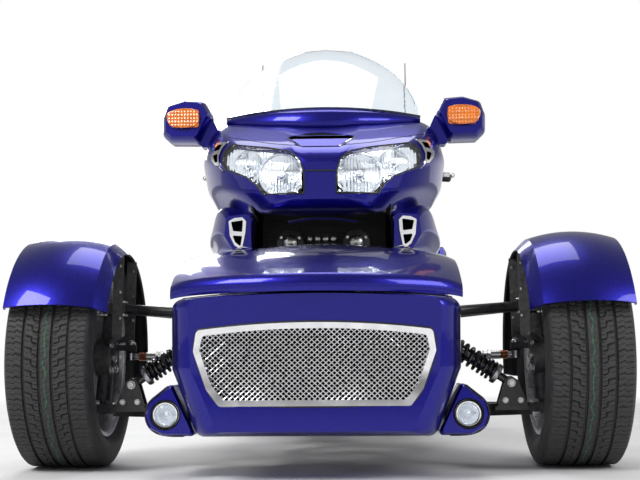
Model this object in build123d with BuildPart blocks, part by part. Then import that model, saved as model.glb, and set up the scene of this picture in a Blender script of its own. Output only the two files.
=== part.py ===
"""Three-wheeled touring motorcycle with two steered front wheels, in millimetres.

X is across (left side of the vehicle at +X), Y is along (nose at -Y), Z is up from the ground.
"""

import os
from math import cos, radians, sin

from build123d import *

os.makedirs("parts", exist_ok=True)

# Wheels and axles
FRONT_AXLE_Y = -900
FRONT_AXLE_Z = 295
FRONT_TRACK_HALF = 679
FRONT_TYRE_R = 295
FRONT_TYRE_HALF_WIDTH = 111
FRONT_BEAD_R = 203
RIM_HALF = 96
REAR_AXLE_Y = 790
REAR_AXLE_Z = 311
REAR_TYRE_R = 311
REAR_TYRE_HALF_WIDTH = 90
REAR_BEAD_R = 203
REAR_RIM_HALF = 78
RUNNING_GAP = 0.05

# Steering
KINGPIN_LOWER = (600, 155)
KINGPIN_UPPER = (578, 430)
KINGPIN_R = 9
BALL_X = 545
BALL_Y = -790
TIE_ROD_Z = 322
STEERING_HEAD = (0, -250, 930)
STEERING_LEAN = 25
STEM_R = 20

# Bodywork
SHELL = 6
TRUNK_HALF = 310
TRUNK_SPLIT_Z = 1003
BAG_INNER_X = 195
BAG_OUTER_X = 440
BAG_LID_X = 446
LID_GAP = 6


def rounded(plane, points, radius):
    """Closed outline on a plane with every corner rounded."""
    with BuildSketch(plane) as section:
        Polygon(*points, align=None)
        fillet(section.vertices(), radius)
    return section.sketch


def mirrored(half):
    """Full outline from the points of its right half, bottom to top."""
    return list(half) + [(-x, z) for x, z in reversed(half)]


def grown(half, amount, middle_z):
    """Half outline moved outwards all round by an amount."""
    rows = []
    for x, z in half:
        rows.append((x + amount, z + amount * (1 if z > middle_z else -1)))
    return rows


def crowned(plane, half, crown, radius):
    """Symmetric outline whose top edge is an arc that rises to the crown height."""
    end_x, end_z = half[-1]
    with BuildSketch(plane) as section:
        with BuildLine():
            Polyline(*[(-x, z) for x, z in reversed(half)], *half)
            ThreePointArc((end_x, end_z), (0, crown), (-end_x, end_z))
        make_face()
        fillet(section.vertices(), radius)
    return section.sketch


def crowned_slab(y0, y1, half, crown, radius):
    """Crowned outline extruded from y0 to y1."""
    with BuildPart() as body:
        extrude(crowned(Plane.XZ.offset(-y0), half, crown, radius), amount=y0 - y1)
    return body.part


def shell_y(sections, ruled=False):
    """Solid through outlines across the vehicle: rows of (y, corner radius, points)."""
    with BuildPart() as body:
        loft(
            sections=[rounded(Plane.XZ.offset(-y), pts, r) for y, r, pts in sections],
            ruled=ruled,
        )
    return body.part


def shell_z(sections, ruled=False):
    """Solid through level outlines: rows of (z, corner radius, points)."""
    with BuildPart() as body:
        loft(
            sections=[rounded(Plane.XY.offset(z), pts, r) for z, r, pts in sections],
            ruled=ruled,
        )
    return body.part


def slab_y(y0, y1, points, radius):
    """Outline across the vehicle, extruded from y0 to y1."""
    with BuildPart() as body:
        with BuildSketch(Plane.XZ.offset(-y0)) as section:
            Polygon(*points, align=None)
            if radius:
                fillet(section.vertices(), radius)
        extrude(amount=y0 - y1)
    return body.part


def slab_x(x0, x1, points, radius):
    """Outline in (y, z), extruded from x0 to x1."""
    with BuildPart() as body:
        with BuildSketch(Plane.YZ.offset(x0)) as section:
            Polygon(*points, align=None)
            if radius:
                fillet(section.vertices(), radius)
        extrude(amount=x1 - x0)
    return body.part


def slab_z(z0, z1, points, radius):
    """Outline in (x, y), extruded from z0 to z1."""
    with BuildPart() as body:
        with BuildSketch(Plane.XY.offset(z0)) as section:
            Polygon(*points, align=None)
            if radius:
                fillet(section.vertices(), radius)
        extrude(amount=z1 - z0)
    return body.part


def block(low, high, radius=0):
    """Box between two corners, its upright edges rounded."""
    with BuildPart() as body:
        with Locations(((low[0] + high[0]) / 2, (low[1] + high[1]) / 2, (low[2] + high[2]) / 2)):
            Box(high[0] - low[0], high[1] - low[1], high[2] - low[2])
        if radius:
            fillet(body.edges().filter_by(Axis.Z), radius)
    return body.part


def rod(start, end, radius):
    """Round bar between two points."""
    start, end = Vector(*start), Vector(*end)
    with BuildPart() as body:
        with BuildSketch(Plane(origin=start, z_dir=end - start)):
            Circle(radius)
        extrude(amount=(end - start).length)
    return body.part


def square_bar(start, end, width, height):
    """Bar of rectangular section between two points, height upwards."""
    start, end = Vector(*start), Vector(*end)
    along = (end - start).normalized()
    across = along.cross(Vector(0, 0, 1)).normalized()
    with BuildPart() as body:
        with BuildSketch(Plane(origin=start, x_dir=across, z_dir=along)):
            Rectangle(width, height)
        extrude(amount=(end - start).length)
    return body.part


def bent_tube(points, bend, radius):
    """Round tube along a path with rounded bends."""
    with BuildPart() as body:
        with BuildLine() as path:
            FilletPolyline(*points, radius=bend)
        with BuildSketch(Plane(origin=path.line @ 0, z_dir=path.line % 0)):
            Circle(radius)
        sweep(path=path.line)
    return body.part


def turned_x(centre, profile):
    """Solid of revolution about a line along X: profile rows of (x, r)."""
    with BuildPart() as body:
        with BuildSketch(Plane.XZ.offset(-centre[0])):
            Polygon(*[(x, centre[1] + r) for x, r in profile], align=None)
        revolve(axis=Axis((0, centre[0], centre[1]), (1, 0, 0)))
    return body.part


def turned(origin, direction, profile):
    """Solid of revolution about any axis: profile rows of (r, height along the axis)."""
    base = Plane(origin=origin, z_dir=direction)
    side = Plane(origin=origin, x_dir=base.x_dir, z_dir=-base.y_dir)
    with BuildPart() as body:
        with BuildSketch(side):
            Polygon(*profile, align=None)
        revolve(axis=Axis(origin, direction))
    return body.part


def tyre(centre, middle_x, outer_r, half_width, bead_r, bead_half):
    """Closed band with crowned tread, round shoulders and bulged sidewalls."""
    y, z = centre
    tread = half_width - 14
    with BuildPart() as body:
        with BuildSketch(Plane.XZ.offset(-y)):
            with BuildLine():
                Line((middle_x - bead_half, z + bead_r), (middle_x + bead_half, z + bead_r))
                for s in (1, -1):
                    Line((middle_x + s * bead_half, z + bead_r), (middle_x + s * bead_half, z + bead_r + 11))
                    ThreePointArc(
                        (middle_x + s * bead_half, z + bead_r + 11),
                        (middle_x + s * half_width, z + bead_r + 0.46 * (outer_r - bead_r)),
                        (middle_x + s * (half_width - 3), z + outer_r - 22),
                    )
                    ThreePointArc(
                        (middle_x + s * (half_width - 3), z + outer_r - 22),
                        (middle_x + s * (half_width - 6), z + outer_r - 10),
                        (middle_x + s * tread, z + outer_r - 3),
                    )
                ThreePointArc(
                    (middle_x - tread, z + outer_r - 3),
                    (middle_x, z + outer_r),
                    (middle_x + tread, z + outer_r - 3),
                )
            make_face()
        revolve(axis=Axis((0, y, z), (1, 0, 0)))
    return body.part


# Front tyres
with BuildPart() as front_tyre_left:
    add(
        tyre(
            (FRONT_AXLE_Y, FRONT_AXLE_Z),
            FRONT_TRACK_HALF,
            FRONT_TYRE_R,
            FRONT_TYRE_HALF_WIDTH,
            FRONT_BEAD_R,
            RIM_HALF - 10,
        )
    )
with BuildPart() as front_tyre_right:
    mirror(front_tyre_left.part, about=Plane.YZ)

# Front rims, hub with the spindle's bore and brake disc in one turned piece with ten spokes
HUB_INNER_X = 632
HUB_OUTER_X = 705
SPINDLE_R = 20
SPINDLE_END_X = 668
DISC_X = (636, 644)
DISC_R = 145
SPOKES = 5

with BuildPart() as front_rim_left:
    add(
        turned_x(
            (FRONT_AXLE_Y, FRONT_AXLE_Z),
            [
                (FRONT_TRACK_HALF - RIM_HALF, 213),
                (FRONT_TRACK_HALF - RIM_HALF + 8, 213),
                (FRONT_TRACK_HALF - RIM_HALF + 10, FRONT_BEAD_R),
                (FRONT_TRACK_HALF + RIM_HALF - 10, FRONT_BEAD_R),
                (FRONT_TRACK_HALF + RIM_HALF - 8, 213),
                (FRONT_TRACK_HALF + RIM_HALF, 213),
                (FRONT_TRACK_HALF + RIM_HALF - 2, 196),
                (FRONT_TRACK_HALF - RIM_HALF + 6, 194),
            ],
        )
    )
    add(
        turned_x(
            (FRONT_AXLE_Y, FRONT_AXLE_Z),
            [
                (HUB_INNER_X, SPINDLE_R + RUNNING_GAP),
                (HUB_INNER_X, 66),
                (HUB_INNER_X + 12, 74),
                (HUB_OUTER_X + 20, 62),
                (HUB_OUTER_X + 32, 34),
                (HUB_OUTER_X + 36, 0),
                (SPINDLE_END_X + 2, 0),
                (SPINDLE_END_X + 2, SPINDLE_R + RUNNING_GAP),
            ],
        )
    )
    add(
        turned_x(
            (FRONT_AXLE_Y, FRONT_AXLE_Z),
            [
                (DISC_X[0], 40),
                (DISC_X[0], DISC_R),
                (DISC_X[1], DISC_R),
                (DISC_X[1], 40),
            ],
        )
    )
    with Locations(Plane(origin=(0, FRONT_AXLE_Y, FRONT_AXLE_Z), x_dir=(0, 1, 0), z_dir=(1, 0, 0))):
        with PolarLocations(0, SPOKES):
            with Locations((126, 22, 737), (126, -22, 737)):
                Box(146, 18, 22)
with BuildPart() as front_rim_right:
    mirror(front_rim_left.part, about=Plane.YZ)

# Kingpin axis of the left knuckle
LEFT_PIN_LOW = Vector(KINGPIN_LOWER[0], FRONT_AXLE_Y, KINGPIN_LOWER[1])
LEFT_PIN_HIGH = Vector(KINGPIN_UPPER[0], FRONT_AXLE_Y, KINGPIN_UPPER[1])
PIN_DIR = (LEFT_PIN_HIGH - LEFT_PIN_LOW).normalized()
PIN_LENGTH = (LEFT_PIN_HIGH - LEFT_PIN_LOW).length


def on_pin(distance):
    """Point on the left kingpin axis, measured up from the lower ball."""
    return LEFT_PIN_LOW + PIN_DIR * distance


# Knuckles with spindle, steering arm, caliper and the fender's brackets
with BuildPart() as knuckle_left:
    add(rod(on_pin(-14), on_pin(PIN_LENGTH + 14), KINGPIN_R))
    add(rod(on_pin(24), on_pin(PIN_LENGTH - 22), 21))
    add(rod((575, FRONT_AXLE_Y, FRONT_AXLE_Z), (612, FRONT_AXLE_Y, FRONT_AXLE_Z), 52))
    add(
        rod(
            (600, FRONT_AXLE_Y, FRONT_AXLE_Z),
            (SPINDLE_END_X, FRONT_AXLE_Y, FRONT_AXLE_Z),
            SPINDLE_R,
        )
    )
    add(square_bar((585, FRONT_AXLE_Y + 10, TIE_ROD_Z), (BALL_X, BALL_Y, TIE_ROD_Z), 26, 16))
    add(rod((BALL_X, BALL_Y, TIE_ROD_Z - 9), (BALL_X, BALL_Y, TIE_ROD_Z + 9), 15))
    add(rod((BALL_X, BALL_Y, TIE_ROD_Z - 30), (BALL_X, BALL_Y, TIE_ROD_Z), 6))
    add(square_bar((592, FRONT_AXLE_Y + 20, 290), (592, FRONT_AXLE_Y + 118, 290), 14, 40))
    add(block((590, FRONT_AXLE_Y + 84, 250), (668, FRONT_AXLE_Y + 165, 340), 10))
    add(block((629, FRONT_AXLE_Y + 60, 240), (651, FRONT_AXLE_Y + 151, 350)), mode=Mode.SUBTRACT)
    for end_y in (-84, 84):
        add(
            square_bar(
                (582, FRONT_AXLE_Y + end_y * 0.3, 335),
                (545, FRONT_AXLE_Y + end_y, 352),
                22,
                12,
            )
        )
        add(
            square_bar(
                (545, FRONT_AXLE_Y + end_y, 347), (541, FRONT_AXLE_Y + end_y, 566), 8, 26
            )
        )
with BuildPart() as knuckle_right:
    mirror(knuckle_left.part, about=Plane.YZ)

# Front fenders, thin arched covers turned about the wheel's axis
FENDER_START = 23
FENDER_SWEEP = 168
FENDER_OUTSIDE = [(788, 318), (692, 334), (561, 314)]
FENDER_FLANK = [(561, 314), (549, 303), (531, 284)]
FENDER_FLANK_IN = [(536, 281), (553, 299), (563, 309)]
FENDER_INSIDE = [(563, 309), (690, 329), (783, 313)]
with BuildPart() as front_fender_left:
    start_plane = Plane(
        origin=(0, FRONT_AXLE_Y, FRONT_AXLE_Z),
        x_dir=(1, 0, 0),
        z_dir=(0, -sin(radians(FENDER_START)), -cos(radians(FENDER_START))),
    )
    with BuildSketch(start_plane):
        with BuildLine():
            ThreePointArc(*FENDER_OUTSIDE)
            ThreePointArc(*FENDER_FLANK)
            Line(FENDER_FLANK[2], FENDER_FLANK_IN[0])
            ThreePointArc(*FENDER_FLANK_IN)
            ThreePointArc(*FENDER_INSIDE)
            Polyline(FENDER_INSIDE[2], (785, 304), (790, 306), FENDER_OUTSIDE[0])
        make_face()
    revolve(
        axis=Axis((0, FRONT_AXLE_Y, FRONT_AXLE_Z), (-1, 0, 0)),
        revolution_arc=FENDER_SWEEP,
    )
    add(knuckle_left.part, mode=Mode.SUBTRACT)
with BuildPart() as front_fender_right:
    mirror(front_fender_left.part, about=Plane.YZ)

# Tie rods from the knuckles' ball pins into the nose
ROD_INNER_X = 300
with BuildPart() as tie_rod_left:
    add(rod((BALL_X, BALL_Y, TIE_ROD_Z - 34), (BALL_X, BALL_Y, TIE_ROD_Z - 14), 14))
    add(rod((BALL_X, BALL_Y, TIE_ROD_Z - 24), (ROD_INNER_X, BALL_Y, TIE_ROD_Z - 28), 8))
    add(rod((BALL_X - 30, BALL_Y, TIE_ROD_Z - 24.4), (BALL_X - 70, BALL_Y, TIE_ROD_Z - 25), 11))
    with Locations((BALL_X, BALL_Y, TIE_ROD_Z - 24)):
        Cylinder(6 + RUNNING_GAP, 30, mode=Mode.SUBTRACT)
with BuildPart() as tie_rod_right:
    mirror(tie_rod_left.part, about=Plane.YZ)

# Lower arms: square tube, gusset, ball joint block and shock bracket
LOWER_PIVOTS = [(228, -1060, 150), (228, -740, 150)]
UPPER_PIVOTS = [(252, -1020, 402), (252, -780, 402)]
SHOCK_Y = -948
SHOCK_LOW = (506, SHOCK_Y, 221)
SHOCK_HIGH = (252, SHOCK_Y, 390)

with BuildPart() as lower_arms:
    for pivot in LOWER_PIVOTS:
        add(square_bar(pivot, (560, FRONT_AXLE_Y, 152), 32, 32))
        add(rod((pivot[0], pivot[1] - 22, 150), (pivot[0], pivot[1] + 22, 150), 20))
    add(
        slab_z(
            147,
            153,
            [(380, -960), (548, -905), (548, -895), (380, -840)],
            3,
        )
    )
    add(block((556, FRONT_AXLE_Y - 22, 143), (628, FRONT_AXLE_Y + 22, 168), 8))
    for plate_y in (SHOCK_Y - 26, SHOCK_Y + 18):
        add(
            slab_y(
                plate_y,
                plate_y + 8,
                [(468, 158), (550, 158), (524, 228), (506, 240), (490, 230)],
                4,
            )
        )
    add(block((462, SHOCK_Y - 26, 150), (552, SHOCK_Y + 26, 160)))
    add(rod(on_pin(-30), on_pin(30), KINGPIN_R + RUNNING_GAP), mode=Mode.SUBTRACT)
    mirror(about=Plane.YZ)

with BuildPart() as upper_arms:
    for pivot in UPPER_PIVOTS:
        add(rod(pivot, (545, FRONT_AXLE_Y, 428), 14))
        add(rod((pivot[0], pivot[1] - 20, 402), (pivot[0], pivot[1] + 20, 402), 18))
    add(block((534, FRONT_AXLE_Y - 20, 414), (600, FRONT_AXLE_Y + 20, 444), 8))
    add(
        rod(on_pin(PIN_LENGTH - 30), on_pin(PIN_LENGTH + 30), KINGPIN_R + RUNNING_GAP),
        mode=Mode.SUBTRACT,
    )
    mirror(about=Plane.YZ)

# Coil-over shocks, the spring as a ringed sleeve
shock_axis = Vector(*SHOCK_HIGH) - Vector(*SHOCK_LOW)
shock_length = shock_axis.length
COILS = 8
COIL_START = 52
COIL_PITCH = 21
coil_profile = []
for coil in range(COILS):
    base = COIL_START + coil * COIL_PITCH
    coil_profile += [(17, base), (27, base + 6), (27, base + 11), (17, base + 17)]
with BuildPart() as coil_shocks:
    add(
        turned(
            SHOCK_LOW,
            shock_axis,
            [(0, 12), (10, 12), (10, 40), (28, 42), (28, COIL_START - 2)]
            + coil_profile
            + [
                (28, COIL_START + COILS * COIL_PITCH),
                (28, shock_length - 60),
                (22, shock_length - 56),
                (22, shock_length - 20),
                (10, shock_length - 14),
                (0, shock_length - 12),
            ],
        )
    )
    for eye in (SHOCK_LOW, SHOCK_HIGH):
        add(rod((eye[0], SHOCK_Y - 17, eye[2]), (eye[0], SHOCK_Y + 17, eye[2]), 15))
    mirror(about=Plane.YZ)

# Front subframe: two side frames of square tube that carry the arms, and the bars between them
RAIL = 30
LOW_RAIL_X = 192
HIGH_RAIL_X = 214
SHOCK_EARS_X = (214, 268)
with BuildPart() as subframe_side_left:
    add(square_bar((LOW_RAIL_X, -1230, 150), (LOW_RAIL_X, -470, 150), RAIL, RAIL))
    add(square_bar((HIGH_RAIL_X, -1120, 402), (HIGH_RAIL_X, -700, 402), RAIL, RAIL))
    for post_y in (-1100, -700):
        add(square_bar((LOW_RAIL_X, post_y, 150), (HIGH_RAIL_X, post_y, 402), RAIL, RAIL))
    for pivot in LOWER_PIVOTS:
        for ear in (-32, 24):
            add(block((200, pivot[1] + ear, 132), (240, pivot[1] + ear + 8, 168)))
    for pivot in UPPER_PIVOTS:
        for ear in (-30, 22):
            add(block((222, pivot[1] + ear, 386), (262, pivot[1] + ear + 8, 418)))
    for ear in (-33, 25):
        add(
            block(
                (SHOCK_EARS_X[0], SHOCK_Y + ear, 372),
                (SHOCK_EARS_X[1], SHOCK_Y + ear + 8, 408),
            )
        )
    add(block((140, -478, 135), (190, -440, 262)))
with BuildPart() as subframe_side_right:
    mirror(subframe_side_left.part, about=Plane.YZ)

CROSS_BARS = [
    # y, z, half length
    (-1215, 150, LOW_RAIL_X - RAIL / 2),
    (-1100, 150, LOW_RAIL_X - RAIL / 2),
    (-700, 150, LOW_RAIL_X - RAIL / 2),
    (-1100, 402, HIGH_RAIL_X - RAIL / 2 - 2),
    (-700, 402, HIGH_RAIL_X - RAIL / 2 - 2),
]
with BuildPart() as front_subframe:
    for cross_y, cross_z, half in CROSS_BARS:
        add(square_bar((-half, cross_y, cross_z), (half, cross_y, cross_z), RAIL, RAIL))
    for s in (-1, 1):
        add(rod((s * 150, -1100, 402), (s * 150, -1100, 536), 8))
        add(block((min(s * 110, s * 150), -1228, 112), (max(s * 110, s * 150), -1202, 140)))
    add(square_bar((0, -704, 158), (0, -764, 270), 60, 10))
    add(block((-60, -840, 262), (60, -740, 322), 10))
    add(rod((-240, BALL_Y, TIE_ROD_Z - 28), (240, BALL_Y, TIE_ROD_Z - 28), 17))

# Nose shell with the grille opening
NOSE_SECTIONS = [
    # y, corner radius, crown, half outline
    (-1338, 22, 440, [(228, 118), (292, 262), (300, 426)]),
    (-1300, 26, 448, [(272, 106), (334, 263), (338, 428)]),
    (-1230, 26, 449, [(287, 101), (350, 264), (352, 429)]),
    (-1064, 26, 449, [(287, 101), (350, 264), (352, 430)]),
]
NOSE_INNER = [
    (-1330, 18, 434, [(222, 124), (286, 264), (292, 420)]),
    (-1296, 22, 442, [(265, 112), (327, 265), (331, 422)]),
    (-1226, 22, 443, [(280, 107), (343, 266), (345, 423)]),
    (-1054, 22, 443, [(280, 107), (343, 266), (345, 424)]),
]
GRILLE_HALF = [(223, 177), (252, 216), (283, 304), (276, 353)]
GRILLE_CROWN = 371
GRILLE_OPEN_HALF = [(211, 191), (240, 226), (268, 306), (262, 340)]
GRILLE_OPEN_CROWN = 357
GRILLE_MIDDLE_Z = 265
GRILLE_GAP = 1.5


def nose_body(sections):
    """Solid through crowned outlines across the vehicle."""
    with BuildPart() as body:
        loft(sections=[crowned(Plane.XZ.offset(-y), half, crown, r) for y, r, crown, half in sections])
    return body.part


nose_outer = nose_body(NOSE_SECTIONS)

with BuildPart() as nose_shell:
    add(nose_outer)
    add(nose_body(NOSE_INNER), mode=Mode.SUBTRACT)
    add(
        crowned_slab(
            -1400,
            -1315,
            grown(GRILLE_HALF, GRILLE_GAP, GRILLE_MIDDLE_Z),
            GRILLE_CROWN + GRILLE_GAP,
            12,
        ),
        mode=Mode.SUBTRACT,
    )
    for s in (-1, 1):
        add(rod((s * 150, -1100, 420), (s * 150, -1100, 470), 8.4), mode=Mode.SUBTRACT)

# Grille surround and its lattice
with BuildPart() as grille_surround:
    add(crowned_slab(-1356, -1322, GRILLE_HALF, GRILLE_CROWN, 12))
    add(crowned_slab(-1370, -1310, GRILLE_OPEN_HALF, GRILLE_OPEN_CROWN, 10), mode=Mode.SUBTRACT)

LATTICE_PITCH = 36
LATTICE_HOLE = 28
LATTICE_EDGE = 0.4
with BuildPart() as grille_mesh:
    add(
        crowned_slab(
            -1340,
            -1336,
            grown(GRILLE_OPEN_HALF, -LATTICE_EDGE, GRILLE_MIDDLE_Z),
            GRILLE_OPEN_CROWN - LATTICE_EDGE,
            10,
        )
    )
    with BuildSketch(Plane.XZ.offset(1336)):
        with Locations((0, GRILLE_MIDDLE_Z)):
            with GridLocations(LATTICE_PITCH, LATTICE_PITCH, 14, 5):
                RegularPolygon(LATTICE_HOLE / 2, 4)
            with GridLocations(LATTICE_PITCH, LATTICE_PITCH, 15, 6):
                RegularPolygon(LATTICE_HOLE / 2, 4)
    extrude(amount=4, mode=Mode.SUBTRACT)

# Hood: arched sheet from the lip back to the fairing
HOOD_SHEET = 8
HOOD_PROFILES = [
    # x, front y, lip bottom z, lip top z, middle (y, z), rear (y, z)
    (358, -1240, 434, 468, (-1130, 514), (-930, 556)),
    (330, -1262, 438, 476, (-1130, 528), (-895, 568)),
    (250, -1303, 442, 484, (-1120, 545), (-835, 590)),
    (125, -1344, 444, 487, (-1100, 556), (-812, 608)),
    (0, -1357, 445, 488, (-1100, 560), (-815, 613)),
]


def hood_outline(x, front, low, high, middle, rear):
    """Side view of the hood's sheet at one place across the vehicle."""
    with BuildSketch(Plane.YZ.offset(x)) as outline:
        with BuildLine():
            ThreePointArc((front + 3, low), (front, (low + high) / 2), (front + 14, high))
            ThreePointArc((front + 14, high), middle, rear)
            Line(rear, (rear[0], rear[1] - HOOD_SHEET))
            ThreePointArc(
                (rear[0], rear[1] - HOOD_SHEET),
                (middle[0], middle[1] - HOOD_SHEET),
                (front + 18, high - HOOD_SHEET),
            )
            Polyline((front + 18, high - HOOD_SHEET), (front + 12, low), (front + 3, low))
        make_face()
    return outline.sketch


with BuildPart() as hood:
    profiles = [(-row[0], *row[1:]) for row in HOOD_PROFILES[:-1]] + HOOD_PROFILES[::-1]
    loft(sections=[hood_outline(*row) for row in profiles])

# Lamp pods under the nose corners
POD_OUTLINE = [(290, 103), (372, 103), (404, 120), (416, 150), (408, 184), (378, 207), (350, 230)]
LAMP_CENTRE = (364, 154)
LAMP_R = 31
RECESS_R = 37
RECESS_Y = -1212
POD_SMALL = [(0.88 * x + 0.12 * LAMP_CENTRE[0], 0.88 * z + 0.12 * LAMP_CENTRE[1]) for x, z in POD_OUTLINE]
with BuildPart() as fog_lamp_pods:
    add(
        shell_y(
            [
                (-1258, 7, POD_SMALL),
                (-1246, 8, POD_OUTLINE),
                (-1130, 8, POD_OUTLINE),
                (-1060, 7, POD_SMALL),
            ],
            ruled=True,
        )
    )
    add(
        rod((LAMP_CENTRE[0], -1280, LAMP_CENTRE[1]), (LAMP_CENTRE[0], RECESS_Y, LAMP_CENTRE[1]), RECESS_R),
        mode=Mode.SUBTRACT,
    )
    add(nose_outer, mode=Mode.SUBTRACT)
    mirror(about=Plane.YZ)
with BuildPart() as fog_lamps:
    add(
        turned(
            (LAMP_CENTRE[0], RECESS_Y, LAMP_CENTRE[1]),
            (0, -1, 0),
            [(0, 0), (LAMP_R, 0), (LAMP_R, 40), (LAMP_R - 3, 45), (LAMP_R - 6, 42), (16, 45), (0, 46)],
        )
    )
    mirror(about=Plane.YZ)

# Upper fairing, headlamps cut out of the same surface
COWL_SECTIONS = [
    # y, corner radius, half outline
    (-886, 10, [(40, 732), (66, 742), (80, 770), (82, 797), (66, 824), (36, 838)]),
    (-836, 36, [(70, 700), (160, 703), (204, 760), (214, 820), (182, 866), (80, 896)]),
    (-750, 50, [(110, 690), (206, 706), (280, 780), (302, 860), (278, 916), (100, 948)]),
    (-600, 80, [(150, 690), (290, 726), (348, 800), (368, 890), (342, 998), (140, 1030)]),
    (-460, 80, [(170, 700), (305, 740), (360, 806), (376, 910), (350, 1014), (140, 1052)]),
]
HEADLAMP = [
    (42, 745),
    (43, 808),
    (54, 846),
    (86, 876),
    (146, 894),
    (262, 918),
    (288, 896),
    (293, 860),
    (280, 836),
    (212, 802),
    (186, 780),
    (163, 747),
]
HEADLAMP_GAP = 2.5
SIDE_VENT = [
    (300, 852),
    (304, 883),
    (294, 908),
    (277, 930),
    (316, 932),
    (331, 915),
    (337, 897),
    (331, 877),
    (317, 859),
]
SIDE_VENT_CELLS = [
    [(313, 923), (294, 923), (304, 905), (324, 905)],
    [(325, 892), (309, 894), (308, 866), (317, 868)],
]
SCOOP = [(-52, 890), (52, 890), (98, 926), (90, 935), (-90, 935), (-98, 926)]


def cowl_sections(inset, shift):
    """The fairing's outlines drawn in by a wall thickness."""
    rows = []
    for y, radius, half in COWL_SECTIONS:
        middle = sum(z for x, z in half) / len(half)
        pts = []
        for x, z in half:
            pts.append((x - inset, z + inset * (1 if z < middle else -1)))
        rows.append((y + shift, max(radius - inset, 5), mirrored(pts)))
    return rows


def lamp_prisms(gap):
    """Outlines of both headlamps pushed through the fairing's front."""
    with BuildPart() as body:
        for s in (-1, 1):
            with BuildSketch(Plane.XZ.offset(930)) as outline:
                Polygon(*[(s * x, z) for x, z in HEADLAMP], align=None)
                fillet(outline.vertices(), 9)
                if gap:
                    offset(amount=-gap)
            extrude(amount=-370)
    return body.part


def both_sides(y0, y1, points, radius):
    """Outline across the vehicle, extruded from y0 to y1 on both sides."""
    with BuildPart() as body:
        add(slab_y(y0, y1, points, radius))
        mirror(about=Plane.YZ)
    return body.part


cowl_outer = shell_y(cowl_sections(0, 0))
cowl_inner = shell_y(cowl_sections(9, 10))

with BuildPart() as front_cowl:
    add(cowl_outer)
    add(cowl_inner, mode=Mode.SUBTRACT)
    add(lamp_prisms(0), mode=Mode.SUBTRACT)
    add(both_sides(-930, -560, SIDE_VENT, 5), mode=Mode.SUBTRACT)
    add(slab_y(-930, -700, SCOOP, 4), mode=Mode.SUBTRACT)
    add(block((-200, -812, 640), (200, -440, 742)), mode=Mode.SUBTRACT)

with BuildPart() as headlamps:
    add(cowl_outer)
    add(cowl_inner, mode=Mode.SUBTRACT)
    add(lamp_prisms(HEADLAMP_GAP), mode=Mode.INTERSECT)

# Headlamp reflectors: one large and one small bowl a side
REFLECTORS = [
    # x, y, z, radius
    (112, -790, 806, 52),
    (212, -735, 850, 34),
]
with BuildPart() as headlamp_reflectors:
    for x, y, z, radius in REFLECTORS:
        add(
            turned(
                (x, y, z),
                (0, -1, 0),
                [
                    (0, -40),
                    (radius * 0.5, -36),
                    (radius, 0),
                    (radius - 4, 0),
                    (radius * 0.46, -30),
                    (0, -34),
                ],
            )
        )
    mirror(about=Plane.YZ)

# Lower cowls beside the radiator opening
LOWER_COWL = [
    # y, corner radius, outline
    (-716, 12, [(209, 604), (262, 606), (290, 650), (284, 708), (212, 716)]),
    (-670, 20, [(207, 598), (296, 610), (315, 666), (306, 742), (196, 742)]),
    (-600, 20, [(212, 580), (320, 606), (342, 666), (330, 728), (214, 730)]),
    (-340, 20, [(214, 520), (322, 560), (344, 640), (332, 716), (216, 722)]),
]
LOWER_VENT = [
    (277, 694),
    (260, 703),
    (235, 705),
    (224, 693),
    (226, 662),
    (235, 616),
    (241, 609),
    (260, 622),
    (273, 650),
]
LOWER_VENT_CELLS = [
    [(269, 691), (234, 696), (236, 661), (263, 664)],
    [(265, 651), (236, 649), (241, 618), (257, 631)],
]


def drawn_in(points, amount, middle):
    """Outline with every point moved towards its middle."""
    rows = []
    for u, v in points:
        rows.append((u - amount * (1 if u > middle[0] else -1), v - amount * (1 if v > middle[1] else -1)))
    return rows


with BuildPart() as lower_cowls:
    add(shell_y(LOWER_COWL))
    hollow = [(y + 10, r - 6, drawn_in(pts, SHELL, (260, 660))) for y, r, pts in LOWER_COWL]
    add(shell_y(hollow), mode=Mode.SUBTRACT)
    add(cowl_outer, mode=Mode.SUBTRACT)
    add(slab_y(-740, -690, LOWER_VENT, 5), mode=Mode.SUBTRACT)
    mirror(about=Plane.YZ)

# Bright vent frames, two cells each, in the lower cowls and outboard of the headlamps
with BuildPart() as vent_surrounds:
    add(shell_y(cowl_sections(-2, -2)))
    add(cowl_inner, mode=Mode.SUBTRACT)
    add(both_sides(-930, -560, drawn_in(SIDE_VENT, 0.5, (310, 892)), 5), mode=Mode.INTERSECT)
    for cell in SIDE_VENT_CELLS:
        add(both_sides(-930, -560, cell, 3), mode=Mode.SUBTRACT)
    add(both_sides(-722, -704, drawn_in(LOWER_VENT, 0.5, (252, 660)), 5))
    for cell in LOWER_VENT_CELLS:
        add(both_sides(-740, -690, cell, 3), mode=Mode.SUBTRACT)

# Windshield: curved sheet leaning back
SCREEN_ROWS = [
    # z, half width, rear y, front y
    (1034, 300, -560, -690),
    (1160, 262, -450, -560),
    (1250, 188, -375, -450),
    (1314, 90, -318, -345),
]
SCREEN_THICK = 5
with BuildPart() as windshield:
    layers = []
    for z, half, rear, front in SCREEN_ROWS:
        with BuildSketch(Plane.XY.offset(z)) as layer:
            with BuildLine():
                ThreePointArc((-half, rear), (0, front), (half, rear))
                Line((half, rear), (half - 2, rear + SCREEN_THICK))
                ThreePointArc(
                    (half - 2, rear + SCREEN_THICK),
                    (0, front + SCREEN_THICK),
                    (2 - half, rear + SCREEN_THICK),
                )
                Line((2 - half, rear + SCREEN_THICK), (-half, rear))
            make_face()
        layers.append(layer.sketch)
    loft(sections=layers)

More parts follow.
